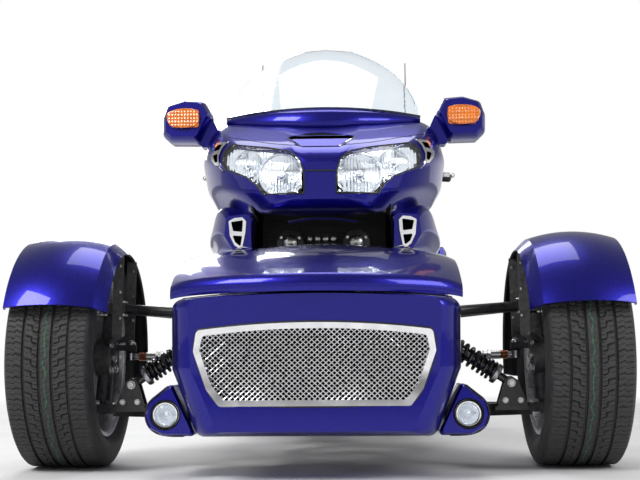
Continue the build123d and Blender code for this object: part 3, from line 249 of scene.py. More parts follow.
METAL = {"Metallic": 1.0}
LENS = {"Coat_Weight": 1.0, "Coat_Roughness": 0.05}
FINISHES = {
    # key: name, two tones, speckle scale, roughness, other values
    "seam": ("Black Seam", ((0.006, 0.006, 0.007), 0.015), 90, 0.5, {}),
    "frame_paint": (
        "Frame Enamel", ((0.012, 0.012, 0.013), (0.03, 0.03, 0.032)), 60, 0.35,
        {"grain": (260, 0.08, 0.0006), "wear": 0.5, "worn": 0.12},
    ),
    "polished": ("Polished Alloy", ((0.82, 0.82, 0.84), (0.7, 0.7, 0.72)), 45, 0.14, METAL),
    "brushed": (
        "Brushed Alloy", ((0.55, 0.55, 0.57), (0.42, 0.42, 0.44)), 120, 0.32,
        {"grain": (500, 0.05, 0.0004), **METAL},
    ),
    "cast": (
        "Cast Alloy", ((0.32, 0.32, 0.33), (0.2, 0.2, 0.21)), 80, 0.48,
        {"grain": (700, 0.25, 0.0006), "wear": 0.4, "worn": 0.5, "Metallic": 0.85},
    ),
    "chrome": ("Chrome", ((0.88, 0.88, 0.9), (0.8, 0.8, 0.83)), 30, 0.05, METAL),
    "zinc": ("Zinc Bolt", ((0.62, 0.62, 0.6), 0.5), 150, 0.28, {"wear": 0.3, "worn": 0.8, **METAL}),
    "copper": ("Copper Thread", ((0.55, 0.28, 0.14), (0.4, 0.2, 0.1)), 150, 0.35, METAL),
    "iron": (
        "Cast Iron", ((0.035, 0.035, 0.037), 0.07), 90, 0.5,
        {"grain": (500, 0.25, 0.0007), "wear": 0.5, "worn": (0.2, 0.19, 0.18), "Metallic": 0.5},
    ),
    "disc": ("Brake Disc", (0.5, 0.36), 200, 0.3, METAL),
    "tyre": (
        "Tyre Rubber", ((0.018, 0.018, 0.019), (0.034, 0.033, 0.032)), 70, 0.62,
        {"grain": (900, 0.18, 0.0005), "wear": 0.35, "worn": (0.08, 0.078, 0.075)},
    ),
    "rubber": ("Moulded Rubber", (0.016, 0.03), 90, 0.7, {"grain": (600, 0.2, 0.0005)}),
    "black_plastic": (
        "Textured Plastic", ((0.018, 0.018, 0.02), (0.03, 0.03, 0.032)), 100, 0.5,
        {"grain": (1200, 0.2, 0.0004), "wear": 0.3, "worn": 0.08},
    ),
    "radiator": ("Radiator Black", (0.01, 0.03), 150, 0.55, {"Metallic": 0.4}),
    "green_chalk": ("Green Stripe", ((0.03, 0.2, 0.09), (0.02, 0.08, 0.05)), 90, 0.8, {}),
    "vinyl": (
        "Saddle Vinyl", ((0.014, 0.014, 0.015), (0.026, 0.026, 0.027)), 40, 0.45,
        {"grain": (420, 0.35, 0.0008), "wear": 0.3, "worn": 0.06},
    ),
    "piping": ("Saddle Piping", (0.01, 0.02), 60, 0.35, {}),
    "red": ("Red Lens", ((0.45, 0.008, 0.006), (0.3, 0.004, 0.004)), 60, 0.16, LENS),
    "white_dial": ("Dial Face", ((0.7, 0.7, 0.68), (0.62, 0.62, 0.6)), 60, 0.4, {}),
    "plate": ("Blank Plate", ((0.75, 0.75, 0.73), (0.66, 0.66, 0.65)), 30, 0.35, {}),
    "gloss_black": (
        "Gloss Black", ((0.008, 0.008, 0.009), (0.02, 0.02, 0.022)), 80, 0.16, {**LENS, "Coat_Weight": 0.6}
    ),
    # Near-black with almost no gloss: painted shade for the scoop, the vents, the grille's interior, the
    # gap under the hood's lip, the opening's ducts and the exhaust tips
    "pit": ("Dark Lining", (0.002, 0.004), 120, 0.8, {"Specular_IOR_Level": 0.08}),
    "reflector": ("Lamp Silver", ((0.92, 0.93, 0.95), (0.84, 0.85, 0.88)), 60, 0.09, METAL),
    "wire": ("Bright Wire", ((0.95, 0.95, 0.97), (0.88, 0.88, 0.9)), 60, 0.3, METAL),
    # Opaque grey-blue: painted highlight along the windshield's edge
    "bead": ("Clear Bead", ((0.36, 0.42, 0.48), (0.28, 0.34, 0.40)), 40, 0.12, {"Coat_Weight": 1.0}),
}
GLASSES = {
    # key: name, two tones, speckle scale, roughness, refraction
    "glass": ("Clear Lens", ((0.95, 0.97, 1), (0.9, 0.94, 0.97)), 14, 0.02, 1.3),
    "screen": ("Windshield Sheet", ((0.86, 0.92, 0.97), (0.8, 0.88, 0.94)), 6, 0.03, 1.18),
}
NODE_FINISH = {
    # finish: CAD nodes that carry it
    "paint": (
        "nose_shell hood fog_lamp_pods front_cowl lower_cowls mirror_housings tank_cover "
        "side_covers trunk trunk_lid saddlebags saddlebag_lid_left saddlebag_lid_right "
        "rear_fender front_fender_left front_fender_right"
    ),
    "frame_paint": (
        "frame seat_subframe front_subframe subframe_side_left subframe_side_right lower_arms upper_arms"
    ),
    "polished": "grille_mesh",
    "chrome": "exhausts handlebar headlamp_reflectors grille_surround vent_surrounds",
    "glass": "headlamps fog_lamps",
    "screen": "windshield",
    "amber": "turn_signals",
    "red": "tail_lamps",
    "black_plastic": "instrument_panel horns antennas",
    "radiator": "radiators",
    "cast": "engine",
    "brushed": "swingarm rear_rim front_rim_left front_rim_right tie_rod_left tie_rod_right",
    "vinyl": "seat",
    "rubber": "foot_boards hand_grips",
    "iron": "knuckle_left knuckle_right coil_shocks",
    "tyre": "front_tyre_left front_tyre_right rear_tyre",
}
MATERIALS = {}


def make_materials(paint):
    """Fills MATERIALS with every finish by its key."""
    speckle_group()
    grain_group()
    wear_group()
    coat = {"Metallic": 0.85, "Coat_Weight": 1.0, "Coat_Roughness": 0.03, "Coat_IOR": 1.32}
    dim_amber = [c * 0.7 for c in paint.amber]
    rows = {
        "paint": ("Candy Paint", (paint.body, paint.flake), 900.0, 0.3, coat),
        "amber": ("Amber Lens", (paint.amber, dim_amber), 60, 0.16, LENS),
        **FINISHES,
    }
    for key, (*row, others) in rows.items():
        MATERIALS[key] = finish_material(*row, **others)
    for key, row in GLASSES.items():
        MATERIALS[key] = clear_material(*row)


def smooth(mesh, angle=32):
    """Smooth shading with creases where faces meet at more than an angle."""
    mesh.polygons.foreach_set("use_smooth", [True] * len(mesh.polygons))
    mesh.set_sharp_from_angle(angle=math.radians(angle))


def dress(obj, key):
    """Gives an object one finish and smooth shading."""
    obj.data.materials.clear()
    obj.data.materials.append(MATERIALS[key])
    smooth(obj.data)


class TRIKE_OT_finishes(Operator):
    """Builds the finishes and puts them on every CAD node"""

    bl_idname = "trike.finishes"
    bl_label = "Finishes"

    def execute(self, context):
        make_materials(context.scene.trike_paint)
        for finish, names in NODE_FINISH.items():
            for name in names.split():
                dress(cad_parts[name], finish)
        return {"FINISHED"}


# Mesh helpers
def new_object(name, data):
    """An object in the scene for a mesh, lamp or camera."""
    obj = bpy.data.objects.new(name, data)
    bpy.context.scene.collection.objects.link(obj)
    return obj


def sheet(obj, thickness):
    """Turns a skin into a thin sheet."""
    obj.modifiers.new("Sheet", "SOLIDIFY").thickness = thickness


def smooth_step(t):
    """Soft ramp from 0 to 1."""
    t = min(max(t, 0.0), 1.0)
    return t * t * (3 - 2 * t)


def lerp(a, b, t):
    """Point or number between a and b."""
    return a + (b - a) * t


def arc_points(low, high, count):
    """Evenly spaced numbers from low to high."""
    return [low + (high - low) * k / (count - 1) for k in range(count)]


def turns(count, total=2 * math.pi):
    """Angles that share out a turn."""
    return [total * k / count for k in range(count)]


class Form:
    """Collects points and faces of one piece before it becomes an object."""

    def __init__(self):
        self.points = []
        self.faces = []
        self.marks = []

    def add(self, points, faces, mark=0):
        """Appends a patch of points and the faces between them."""
        start = len(self.points)
        self.points += [tuple(p) for p in points]
        self.faces += [tuple(start + i for i in face) for face in faces]
        self.marks += [mark] * len(faces)

    def grid(self, rows, closed_u=False, closed_v=False, mark=0, ends=False):
        """Skin over rows of points, closed along a row (u) or from row to row (v), or with end faces."""
        n, m = len(rows[0]), len(rows)
        faces = []
        for j, i in product(range(m if closed_v else m - 1), range(n if closed_u else n - 1)):
            here, above = j * n, (j + 1) % m * n
            after = (i + 1) % n
            faces.append((here + i, here + after, above + after, above + i))
        if ends:
            faces += [tuple(reversed(range(n))), tuple(range((m - 1) * n, m * n))]
        self.add([p for row in rows for p in row], faces, mark)

    def tube(self, path, radius, sides=10, caps=True, mark=0, flat=1.0):
        """Round bar along a path; radius is one value or one for each point."""
        path = [Vector(p) for p in path]
        radii = [radius] * len(path) if isinstance(radius, (int, float)) else radius
        last = len(path) - 1
        along = [(path[min(i + 1, last)] - path[max(i - 1, 0)]).normalized() for i in range(last + 1)]
        side = along[0].orthogonal().normalized()
        rows = []
        for point, r, ahead in zip(path, radii, along):
            side = (side - ahead * side.dot(ahead)).normalized()
            other = ahead.cross(side) * flat
            rows.append([point + (side * math.cos(a) + other * math.sin(a)) * r for a in turns(sides)])
        self.grid(rows, closed_u=True, mark=mark, ends=caps)

    def ring(self, path, radius, sides=8, mark=0):
        """Round bar along a path that comes back to its start."""
        self.tube([*path, path[0]], radius, sides, caps=False, mark=mark)

    def lathe(self, origin, axis, profile, sides=32, mark=0):
        """Turned shape: profile rows of (radius, height along the axis)."""
        axis = Vector(axis).normalized()
        side = axis.orthogonal().normalized()
        other = axis.cross(side)
        spokes = [side * math.cos(a) + other * math.sin(a) for a in turns(sides)]
        rows = [[Vector(origin) + axis * h + spoke * r for spoke in spokes] for r, h in profile]
        self.grid(rows, closed_u=True, mark=mark)

    def prism(self, outline, depth, mark=0):
        """Outline (points in order) pushed along the vector depth, with both ends."""
        low = [Vector(p) for p in outline]
        self.grid([low, [p + Vector(depth) for p in low]], closed_u=True, mark=mark, ends=True)

    def box(self, middle, size, mark=0):
        """Box with its edges cut back, so that they catch the light."""
        cut = min(size) * 0.12
        x0, y0, z0 = (s / 2 for s in size)
        rows = []
        for z, inset in ((-z0, cut), (-z0 + cut, 0), (z0 - cut, 0), (z0, cut)):
            x, y = x0 - inset, y0 - inset
            ring = [(x, y - cut), (x - cut, y), (cut - x, y), (-x, y - cut)]
            ring += [(-a, -b) for a, b in ring]
            rows.append([Vector(middle) + Vector((a, b, z)) for a, b in ring])
        self.grid(rows, closed_u=True, mark=mark, ends=True)

    def bolt(self, place, axis, size, mark=0):
        """Hexagon head on a washer, standing on place and pointing along axis."""
        axis = Vector(axis).normalized()
        wide, thick = size * 1.15, size * 0.18
        self.lathe(place, axis, [(0, 0), (wide, 0), (wide, thick), (0, thick)], 16, mark)
        profile = [(size, 0), (size, size * 0.55), (size * 0.86, size * 0.7), (0, size * 0.7)]
        self.lathe(Vector(place) + axis * thick, axis, profile, 6, mark)

    def bolts(self, across, along, heights, axis, size, mark=0):
        """Bolts at every mix of the three lists of places."""
        for place in product(across, along, heights):
            self.bolt(place, axis, size, mark)

    def mirrored(self):
        """Adds the same shape on the other side of the vehicle."""
        n = len(self.points)
        self.points += [(-x, y, z) for x, y, z in self.points]
        self.faces += [tuple(n + i for i in reversed(face)) for face in self.faces]
        self.marks += list(self.marks)

    def make(self, name, slot, finishes, body="chassis", crease=32, replaces=None):
        """Turns the collected shape into an object on a body; finishes are keys, one for each mark."""
        mesh = bpy.data.meshes.new(name)
        mesh.from_pydata(self.points, [], self.faces)
        bm = bmesh.new()
        bm.from_mesh(mesh)
        bmesh.ops.remove_doubles(bm, verts=bm.verts, dist=1e-6)
        bmesh.ops.recalc_face_normals(bm, faces=bm.faces)
        bm.to_mesh(mesh)
        bm.free()
        obj = new_object(name, mesh)
        for key in finishes.split():
            mesh.materials.append(MATERIALS[key])
        if len(mesh.materials) > 1 and len(mesh.polygons) == len(self.marks):
            mesh.polygons.foreach_set("material_index", self.marks)
        smooth(mesh, crease)
        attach(obj, body)
        if replaces:
            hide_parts(replaces)
        return obj


# Tyres
GROOVES = (-0.056, -0.016, 0.016, 0.056)
GROOVE_HALF = 0.0044
GROOVE_FLOOR = 0.72
SHOULDER_X = 0.097
FRONT_RADIUS = 0.295
REAR_RADIUS = 0.311
BEAD_RADIUS = 0.203
REAR_SCALE = 0.8
# Cuts in a rib: its width, then each cut from (across, round) to (across, round) with width and
# depth, all in millimetres
RIB_CUTS = {
    "centre": (
        24,
        ((2, 2, 12, 11, 2.2, 2.0), (12, 11, 22, 4, 2.2, 2.0), (3, 18, 21, 27, 2.2, 2.0)),
    ),
    "inner": (
        32,
        (
            (-1, 3, 13, 8, 3.0, 5.0), (13, 8, 15, 21, 2.4, 4.0), (15, 21, 33, 26, 3.0, 5.0),
            (-1, 15, 9, 18, 2.2, 2.5), (19, 8, 33, 12, 2.2, 2.5), (-1, 25, 10, 28, 2.2, 2.5),
        ),
    ),
    "shoulder": (
        42,
        (
            (-1, 4, 16, 10, 2.6, 4.0), (16, 10, 21, 5, 2.4, 4.0), (21, 5, 43, 8, 2.4, 3.0),
            (-1, 18, 16, 24, 2.2, 2.5), (22, 19, 43, 22, 2.2, 2.5),
        ),
    ),
}
# Sidewall from the shoulder to the bead: x as a share of the shoulder's, r below the tread
SIDEWALL_HIGH = 0.092
RIDGE_AT = 1.142
RIDGE = 0.0006
SIDEWALL = (
    (1.045, -0.007), (1.085, -0.014), (1.113, -0.022), (1.13, -0.034), (RIDGE_AT, -0.044),
    (1.143, -0.05), (1.13, -0.058), (1.06, -0.071), (0.95, -0.0795), (0.89, -0.083), (0.888, -0.0915),
)


def cut_depth(kind, across, travel, pitch):
    """Depth in metres of a rib's cuts, at distances in mm across it and round the tyre."""
    deepest = 0.0
    for (x0, y0, x1, y1, wide, deep), shift in product(RIB_CUTS[kind][1], (-pitch, 0.0, pitch)):
        dx, dy = x1 - x0, y1 - y0
        t = ((across - x0) * dx + (travel - shift - y0) * dy) / (dx * dx + dy * dy)
        t = min(max(t, 0.0), 1.0)
        gap = math.hypot(across - x0 - t * dx, travel - shift - y0 - t * dy)
        deepest = max(deepest, deep * (1 - smooth_step((gap - wide * 0.3) / (wide * 0.45))))
    return deepest / 1000


def tyre_columns():
    """Columns over the tread: (x, rib kind or None in a groove, distance across the rib in mm)."""
    columns = []
    edges = [-SHOULDER_X]
    for groove in GROOVES:
        edges += [groove - GROOVE_HALF, groove + GROOVE_HALF]
    edges.append(SHOULDER_X)
    kinds = (("shoulder", 14), ("inner", 12), ("centre", 9), ("inner", 12), ("shoulder", 14))
    for index, (kind, count) in enumerate(kinds):
        low, high = edges[2 * index : 2 * index + 2]
        span = RIB_CUTS[kind][0]
        for x in arc_points(low, high, count):
            across = (x - low) / (high - low) * span
            if kind != "centre" and x < 0:
                across = span - across
            columns.append((x, kind, across))
        if index < len(GROOVES):
            floor = [GROOVES[index] + side * GROOVE_HALF * GROOVE_FLOOR for side in BOTH]
            columns += [(x, None, 0) for x in floor]
    return columns


def tyre_form(middle_x, axle, outer, scale, sizes):
    """Tyre with grooves and cut ribs; scale narrows the pattern for the rear tyre."""
    form = Form()
    columns = tyre_columns()
    pitch = 2 * math.pi * outer / sizes.tread_pitches * 1000
    stretch = (outer - BEAD_RADIUS) / SIDEWALL_HIGH
    flank = []
    for share, drop in SIDEWALL:
        ridge = RIDGE if share == RIDGE_AT else 0.0
        flank.append((share * SHOULDER_X * scale + ridge, outer + drop * stretch))
    grid = []
    for turn in turns(768):
        travel = turn * outer * 1000 % pitch
        line = [(-x, r) for x, r in reversed(flank)]
        for x, kind, across in columns:
            crown = 0.003 * (x / SHOULDER_X) ** 2
            deep = cut_depth(kind, across, travel, pitch) if kind else sizes.groove_depth
            line.append((x * scale, outer - crown - deep))
        line += flank
        grid.append([round_axle(middle_x + x, axle, r, math.pi - turn) for x, r in line])
    form.grid(grid, closed_v=True)
    return form


def round_axle(x, axle, radius, angle):
    """Place at an angle round an axle."""
    return Vector((x, axle[0] + radius * math.cos(angle), axle[1] + radius * math.sin(angle)))


def front_tyre(sign, side, sizes):
    """One front tyre with raised rings on its sidewalls and the stripe on its middle rib."""
    form = tyre_form(sign * WHEEL_X, FRONT_AXLE, FRONT_RADIUS, 1.0, sizes)
    for (radius, reach), face in product(((0.226, 0.1035), (0.262, 0.1095)), BOTH):
        x = sign * WHEEL_X + face * reach
        path = [round_axle(x, FRONT_AXLE, radius, a) for a in arc_points(0, 2 * math.pi, 97)]
        form.tube(path, 0.0009, 5, caps=False)
    wheel = f"front_wheel_{side}"
    form.make(f"tread_{side}", "tyre_rubber", "tyre", wheel, replaces=f"front_tyre_{side}")
    stripe = Form()
    rows = []
    for turn in turns(600):
        wave = 0.0022 * math.sin(turn * 31) + 0.0014 * math.sin(turn * 47 + 1)
        middle = sign * WHEEL_X + wave - 0.001
        place = round_axle(middle, FRONT_AXLE, FRONT_RADIUS + 0.00005, math.pi - turn)
        rows.append([place + Vector((edge * 0.0011, 0, 0)) for edge in BOTH])
    stripe.grid(rows, closed_v=True)
    stripe.make(f"tread_line_{side}", "tyre_rubber", "green_chalk", wheel)


class TRIKE_OT_tyres(Operator):
    """Models the three tyres with grooves, cut ribs and raised sidewall rings"""

    bl_idname = "trike.tyres"
    bl_label = "Tyres"

    def execute(self, context):
        sizes = context.scene.trike_sizes
        for sign, side in SIDES:
            front_tyre(sign, side, sizes)
        rear = tyre_form(0.0, REAR_AXLE, REAR_RADIUS, REAR_SCALE, sizes)
        rear.make("tread_rear", "tyre_rubber", "tyre", "rear_wheel", replaces="rear_tyre")
        return {"FINISHED"}


# Wheels
SPOKES = 5
RIM_FINISHES = "brushed zinc disc rubber"
HUB_CAP = (
    (0.0, 0.020), (0.018, 0.0195), (0.026, 0.016), (0.0275, 0.010), (0.034, 0.009), (0.038, 0.002),
    (0.060, -0.002), (0.070, -0.010), (0.074, -0.028), (0.066, -0.050), (0.05, -0.06), (0.0, -0.06),
)
# Barrel from its edge: inset, radius
BARREL = (
    (0, 0.213), (0.003, 0.2145), (0.008, 0.2125), (0.010, 0.2032), (0.026, 0.2028), (0.034, 0.198),
)


def spoke_rows(middle_x, axle, out, hub_x, base, lean):
    """Sections of one of a pair of spokes, from the hub to the barrel."""
    outwards = Vector((math.cos(base), math.sin(base)))
    sideways = Vector((-outwards.y, outwards.x))
    rows = []
    for t in arc_points(0, 1, 9):
        wide = lerp(0.013, 0.010, t) + 0.004 * smooth_step((t - 0.8) / 0.2)
        thick = lerp(0.024, 0.020, t)
        top = out * (hub_x - 0.004 - 0.006 * math.sin(t * math.pi) + 0.002 * t)
        ring = []
        for u, v in ((-1, -1), (-0.72, 0), (0.72, 0), (1, -1), (0.8, -2.4), (-0.8, -2.4)):
            across = lean * lerp(0.013, 0.030, t) + u * wide
            spot = Vector(axle) + outwards * lerp(0.062, 0.1965, t) + sideways * across
            ring.append((middle_x + top + out * v * thick * 0.4, *spot))
        rows.append(ring)
    return rows


def wheel_form(middle_x, axle, out, half, hub_x):
    """Barrel, lips, twin spokes, cap and nuts; out is +1 where the face looks to +X."""
    form = Form()
    barrel = [(r, inset - half) for inset, r in BARREL]
    barrel += [(r, half - inset) for inset, r in reversed(BARREL)]
    barrel += [(r, half - inset) for inset, r in ((0.002, 0.206), (0.006, 0.2), (0.03, 0.1935))]
    inner = ((0.03, 0.1935), (0.006, 0.199), (0.002, 0.206), (0, 0.213))
    barrel += [(r, inset - half) for inset, r in inner]
    form.lathe((middle_x, *axle), OUT, barrel, 96)
    face = middle_x + out * hub_x
    form.lathe((face, *axle), (out, 0, 0), HUB_CAP, 64)
    for turn in turns(SPOKES):
        base = turn + math.pi / 2
        for lean in BOTH:
            form.grid(spoke_rows(middle_x, axle, out, hub_x, base, lean), closed_u=True)
        nut = round_axle(face + out * 0.0005, axle, 0.05, base + math.pi / SPOKES)
        form.bolt(nut, (out, 0, 0), 0.0095, mark=1)
    return form


def brake_disc(form, x, axle, thick, inner, outer):
    """Brake disc with rows of drilled dimples."""
    half = thick / 2
    edge = [(inner, half), (outer - 0.001, half), (outer, half / 2)]
    profile = [(r, -h) for r, h in edge] + edge[::-1] + [(inner, -half)]
    form.lathe((x, *axle), OUT, profile, 96, mark=2)
    for k, turn in enumerate(turns(45)):
        for face in BOTH:
            place = round_axle(x + face * thick * 0.51, axle, outer - 0.012 - 0.014 * (k % 3), turn)
            form.lathe(place, (face, 0, 0), [(0, 0), (0.0032, 0.0001)], 10, mark=3)


def valve(form, x, out, axle):
    """Valve stem standing on the barrel."""
    y, z = axle
    form.tube([(x, y, z + 0.193), (x + out * 0.004, y, z + 0.162)], 0.0035, 8, mark=3)


class TRIKE_OT_wheels(Operator):
    """Models the rims with twin spokes, nuts, drilled discs and valves"""

    bl_idname = "trike.wheels"
    bl_label = "Wheels"

    def execute(self, context):
        front_hub = [(0.021, 0), (0.06, 0), (0.066, 0.006), (0.066, 0.03), (0.05, 0.05)]
        rear_hub = [(0.023, 0), (0.06, 0), (0.07, 0.03), (0.066, 0.1)]
        for sign, side in SIDES:
            form = wheel_form(sign * WHEEL_X, FRONT_AXLE, sign, 0.096, 0.062)
            brake_disc(form, sign * 0.640, FRONT_AXLE, 0.008, 0.052, 0.145)
            form.lathe((sign * 0.632, *FRONT_AXLE), (sign, 0, 0), front_hub, 48)
            valve(form, sign * (WHEEL_X + 0.055), sign, FRONT_AXLE)
            wheel, rim = f"front_wheel_{side}", f"front_rim_{side}"
            form.make(f"rim_{side}", "alloy", RIM_FINISHES, wheel, replaces=rim)
        form = wheel_form(0.0, REAR_AXLE, 1, 0.078, 0.040)
        form.lathe((-0.07, *REAR_AXLE), OUT, rear_hub, 48)
        brake_disc(form, -0.083, REAR_AXLE, 0.007, 0.06, 0.158)
        valve(form, 0.04, 1, REAR_AXLE)
        form.make("rim_rear", "alloy", RIM_FINISHES, "rear_wheel", replaces="rear_rim")
        return {"FINISHED"}


# Outlines as lists of (x, z)
def scaled(points, middle, share_x, share_z):
    """Outline grown or shrunk about a middle."""
    return [(lerp(middle[0], x, share_x), lerp(middle[1], z, share_z)) for x, z in points]


def flipped(points, sign=-1):
    """Outline on the other side of the vehicle, or on the same one with sign 1."""
    return [(sign * x, z) for x, z in points]


def at_y(points, y):
    """Outline as points in a plane across the vehicle."""
    return [Vector((x, y, z)) for x, z in points]


def round_corners(points, rounds=2):
    """Outline with its corners cut again and again, which leaves it round."""
    for _ in range(rounds):
        cut = []
        for a, b in zip(points, points[1:] + points[:1]):
            cut += [tuple(lerp(p, q, share) for p, q in zip(a, b)) for share in (0.25, 0.75)]
        points = cut
    return points


def inside(points, x, z):
    """Whether a place lies inside an outline."""
    odd = False
    for (x0, z0), (x1, z1) in zip(points[-1:] + points[:-1], points):
        if (z0 > z) != (z1 > z) and x < (x1 - x0) * (z - z0) / (z1 - z0) + x0:
            odd = not odd
    return odd


def clip_segment(p, q, outline):
    """The stretch of a segment inside a convex outline, or None."""
    low, high = 0.0, 1.0
    middle = sum((Vector(v) for v in outline), Vector((0, 0))) / len(outline)
    for a, b in zip(outline, outline[1:] + outline[:1]):
        normal = Vector((b[1] - a[1], a[0] - b[0]))
        if normal.dot(middle - Vector(a)) < 0:
            normal = -normal
        dp, dq = normal.dot(p - Vector(a)), normal.dot(q - Vector(a))
        if dp < 0 and dq < 0:
            return None
        if dp < 0:
            low = max(low, dp / (dp - dq))
        elif dq < 0:
            high = min(high, dp / (dp - dq))
    return (p.lerp(q, low), p.lerp(q, high)) if low < high else None


# Grille
GRILLE_SIDE = [(0.211, 0.190), (0.240, 0.226), (0.268, 0.306), (0.262, 0.340)]
GRILLE_MIDDLE = (0, 0.265)
GRILLE_Y = -1.3375
BACKING_Y = -1.3358
WEAVE_ANGLE = math.radians(42)
WIRE_LIFT = 0.0009
WIRE_RADIUS = 0.0013


def wire_path(start, end, along, lean, phase, step):
    """One wire that passes over and under those that cross it."""
    count = max(int((end - start).length / step) * 2, 2)
    path = []
    for i in range(count + 1):
        spot = start.lerp(end, i / count)
        wave = (spot - Vector(GRILLE_MIDDLE)).dot(along) / step + phase
        path.append((spot.x, GRILLE_Y + lean * WIRE_LIFT * math.cos(math.pi * wave), spot.y))
    return path


class TRIKE_OT_grille(Operator):
    """Weaves the bright wire grille and closes it with a near-black backing, a painted shade of the
    grille's interior
    """

    bl_idname = "trike.grille"
    bl_label = "Grille"

    def execute(self, context):
        pitch = context.scene.trike_sizes.mesh_pitch
        step = pitch * 0.74
        crown = [(x, 0.357 - 0.017 * (x / 0.262) ** 2) for x in arc_points(0.2, -0.2, 7)]
        outline = GRILLE_SIDE + crown + flipped(reversed(GRILLE_SIDE))
        grown = scaled(outline, GRILLE_MIDDLE, 1.012, 1.03)
        form = Form()
        count = int(0.8 / pitch)
        for lean, k in product((1, -1), range(-count, count + 1)):
            along = Vector((math.cos(WEAVE_ANGLE), lean * math.sin(WEAVE_ANGLE)))
            spot = Vector(GRILLE_MIDDLE) + Vector((-along.y, along.x)) * (k * step)
            found = clip_segment(spot - along * 0.7, spot + along * 0.7, grown)
            if found:
                phase = k if lean > 0 else k + 1
                form.tube(wire_path(*found, along, lean, phase, step), WIRE_RADIUS, 5, caps=False)
        form.make("woven_grille", "bright_trim", "wire", replaces="grille_mesh")
        # Near-black sheet behind the wires: painted shade of the grille's interior
        backing = Form()
        backing.prism(at_y(scaled(outline, GRILLE_MIDDLE, 0.995, 1.0), BACKING_Y), (0, 0.0012, 0))
        backing.make("grille_shade_backing", "black_plastic", "pit")
        return {"FINISHED"}


# Surfaces of the CAD nodes that trim and lamps follow
SURFACES = {}


def mesh_tree(obj):
    """Search tree over an object's triangles where they stand."""
    points = [obj.matrix_world @ v.co for v in obj.data.vertices]
    return BVHTree.FromPolygons(points, [tuple(p.vertices) for p in obj.data.polygons])


def surface(node):
    """Search tree over a CAD node, made once."""
    if node not in SURFACES:
        SURFACES[node] = mesh_tree(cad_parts[node])
    return SURFACES[node]


def hit_y(node, x, z, fallback):
    """Where a line along Y first meets the node from the front."""
    place = surface(node).ray_cast(Vector((x, -3, z)), Vector(BACKWARDS))[0]
    return place.y if place else fallback


def laid_on(node, points, lift, fallback, steps=6):
    """Path over (x, z) points, laid on the front of a node and lifted off it."""
    spots = []
    for (x0, z0), (x1, z1) in zip(points, points[1:]):
        spots += [(lerp(x0, x1, k / steps), lerp(z0, z1, k / steps)) for k in range(steps)]
    return [Vector((x, hit_y(node, x, z, fallback) - lift, z)) for x, z in [*spots, points[-1]]]


def relief(form, outline, step, depth):
    """Surface over the inside of an outline: depth gives y at (x, z)."""
    low_x, low_z = (min(p[axis] for p in outline) for axis in (0, 1))
    high_x, high_z = (max(p[axis] for p in outline) for axis in (0, 1))
    index = {}
    points = []
    faces = []
    columns, rows = (int(span / step) + 2 for span in (high_x - low_x, high_z - low_z))
    for i, j in product(range(columns), range(rows)):
        if not inside(outline, low_x + i * step, low_z + j * step):
            continue
        face = []
        for corner in ((i, j), (i + 1, j), (i + 1, j + 1), (i, j + 1)):
            if corner not in index:
                index[corner] = len(points)
                x, z = low_x + (corner[0] - 0.5) * step, low_z + (corner[1] - 0.5) * step
                points.append((x, depth(x, z), z))
            face.append(index[corner])
        faces.append(tuple(face))
    form.add(points, faces)


def node_mesh(node, merge):
    """A CAD node's mesh where it stands, with its double points merged."""
    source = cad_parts[node]
    bm = bmesh.new()
    bm.from_mesh(source.data)
    bm.transform(source.matrix_world)
    bmesh.ops.remove_doubles(bm, verts=bm.verts, dist=merge)
    return bm


def rim_loops(bm):
    """Closed paths along the open edges of a mesh."""
    free = {e for e in bm.edges if len(e.link_faces) == 1}
    loops = []
    while free:
        start, here = free.pop().verts
        path = [start.co.copy(), here.co.copy()]
        while here != start:
            following = [e for e in here.link_edges if e in free]
            if not following:
                break
            free.discard(following[0])
            here = following[0].other_vert(here)
            path.append(here.co.copy())
        loops.append(path)
    return loops


def even_path(path, step):
    """Path with its points spread at a steady distance."""
    made = [path[0]]
    left = step
    for a, b in zip(path, path[1:]):
        length = (b - a).length
        done = 0.0
        while length - done >= left:
            done += left
            made.append(a.lerp(b, done / length))
            left = step
        left -= length - done
    return [*made, path[-1]]


# Lamps
HEADLAMP = [
    (0.042, 0.745), (0.043, 0.808), (0.054, 0.846), (0.086, 0.876), (0.146, 0.894), (0.262, 0.918),
    (0.288, 0.896), (0.293, 0.860), (0.280, 0.836), (0.212, 0.802), (0.186, 0.780), (0.163, 0.747),
]
# Bowls: middle x and z, radius, depth at the rim, extra depth inside, height and pitch of the flutes
MAIN_BOWL = (0.111, 0.806, 0.060, 0.016, 0.036, 0.0016, 0.0085)
SIDE_BOWL = (0.208, 0.846, 0.040, 0.015, 0.022, 0.0013, 0.0075)
LENS_THICK = 0.0015
GASKET_RADIUS = 0.0023
GASKET_STEP = 0.006
FOG_LAMP = Vector((0.364, -1.212, 0.154))
FOG_CASE = (
    (0.0, 0.0), (0.03, 0.0), (0.0312, 0.03), (0.0312, 0.043), (0.0295, 0.0465), (0.0265, 0.0455),
    (0.025, 0.04),
)
FOG_GASKET = (
    (0.0312, 0.002), (0.0368, 0.002), (0.0368, 0.044), (0.0352, 0.046), (0.034, 0.03), (0.0312, 0.03),
)
TURN_LAMP = [(0.383, 1.001), (0.466, 1.001), (0.480, 1.024), (0.480, 1.048), (0.440, 1.059), (0.383, 1.056)]
TRIM_EDGE = 0.011
TAIL_RIBS = 6
TAIL_LAMPS = (
    # rib's y, trim's y, low and high x, low and high z
    (1.3535, 1.3275, 0.122, 0.214, 0.862, 0.918),
    (1.2895, 1.2675, 0.252, 0.408, 0.572, 0.648),
)


def bowl_depth(bowl, x, z):
    """Share of a bowl's radius at a place, and the fluted depth there."""
    middle_x, middle_z, radius, floor, extra, high, pitch = bowl
    share = math.hypot(x - middle_x, z - middle_z) / radius
    flute = high * math.sin(x * 2 * math.pi / pitch) * (1 - share ** 4)
    return share, floor + extra * (1 - share * share) + flute


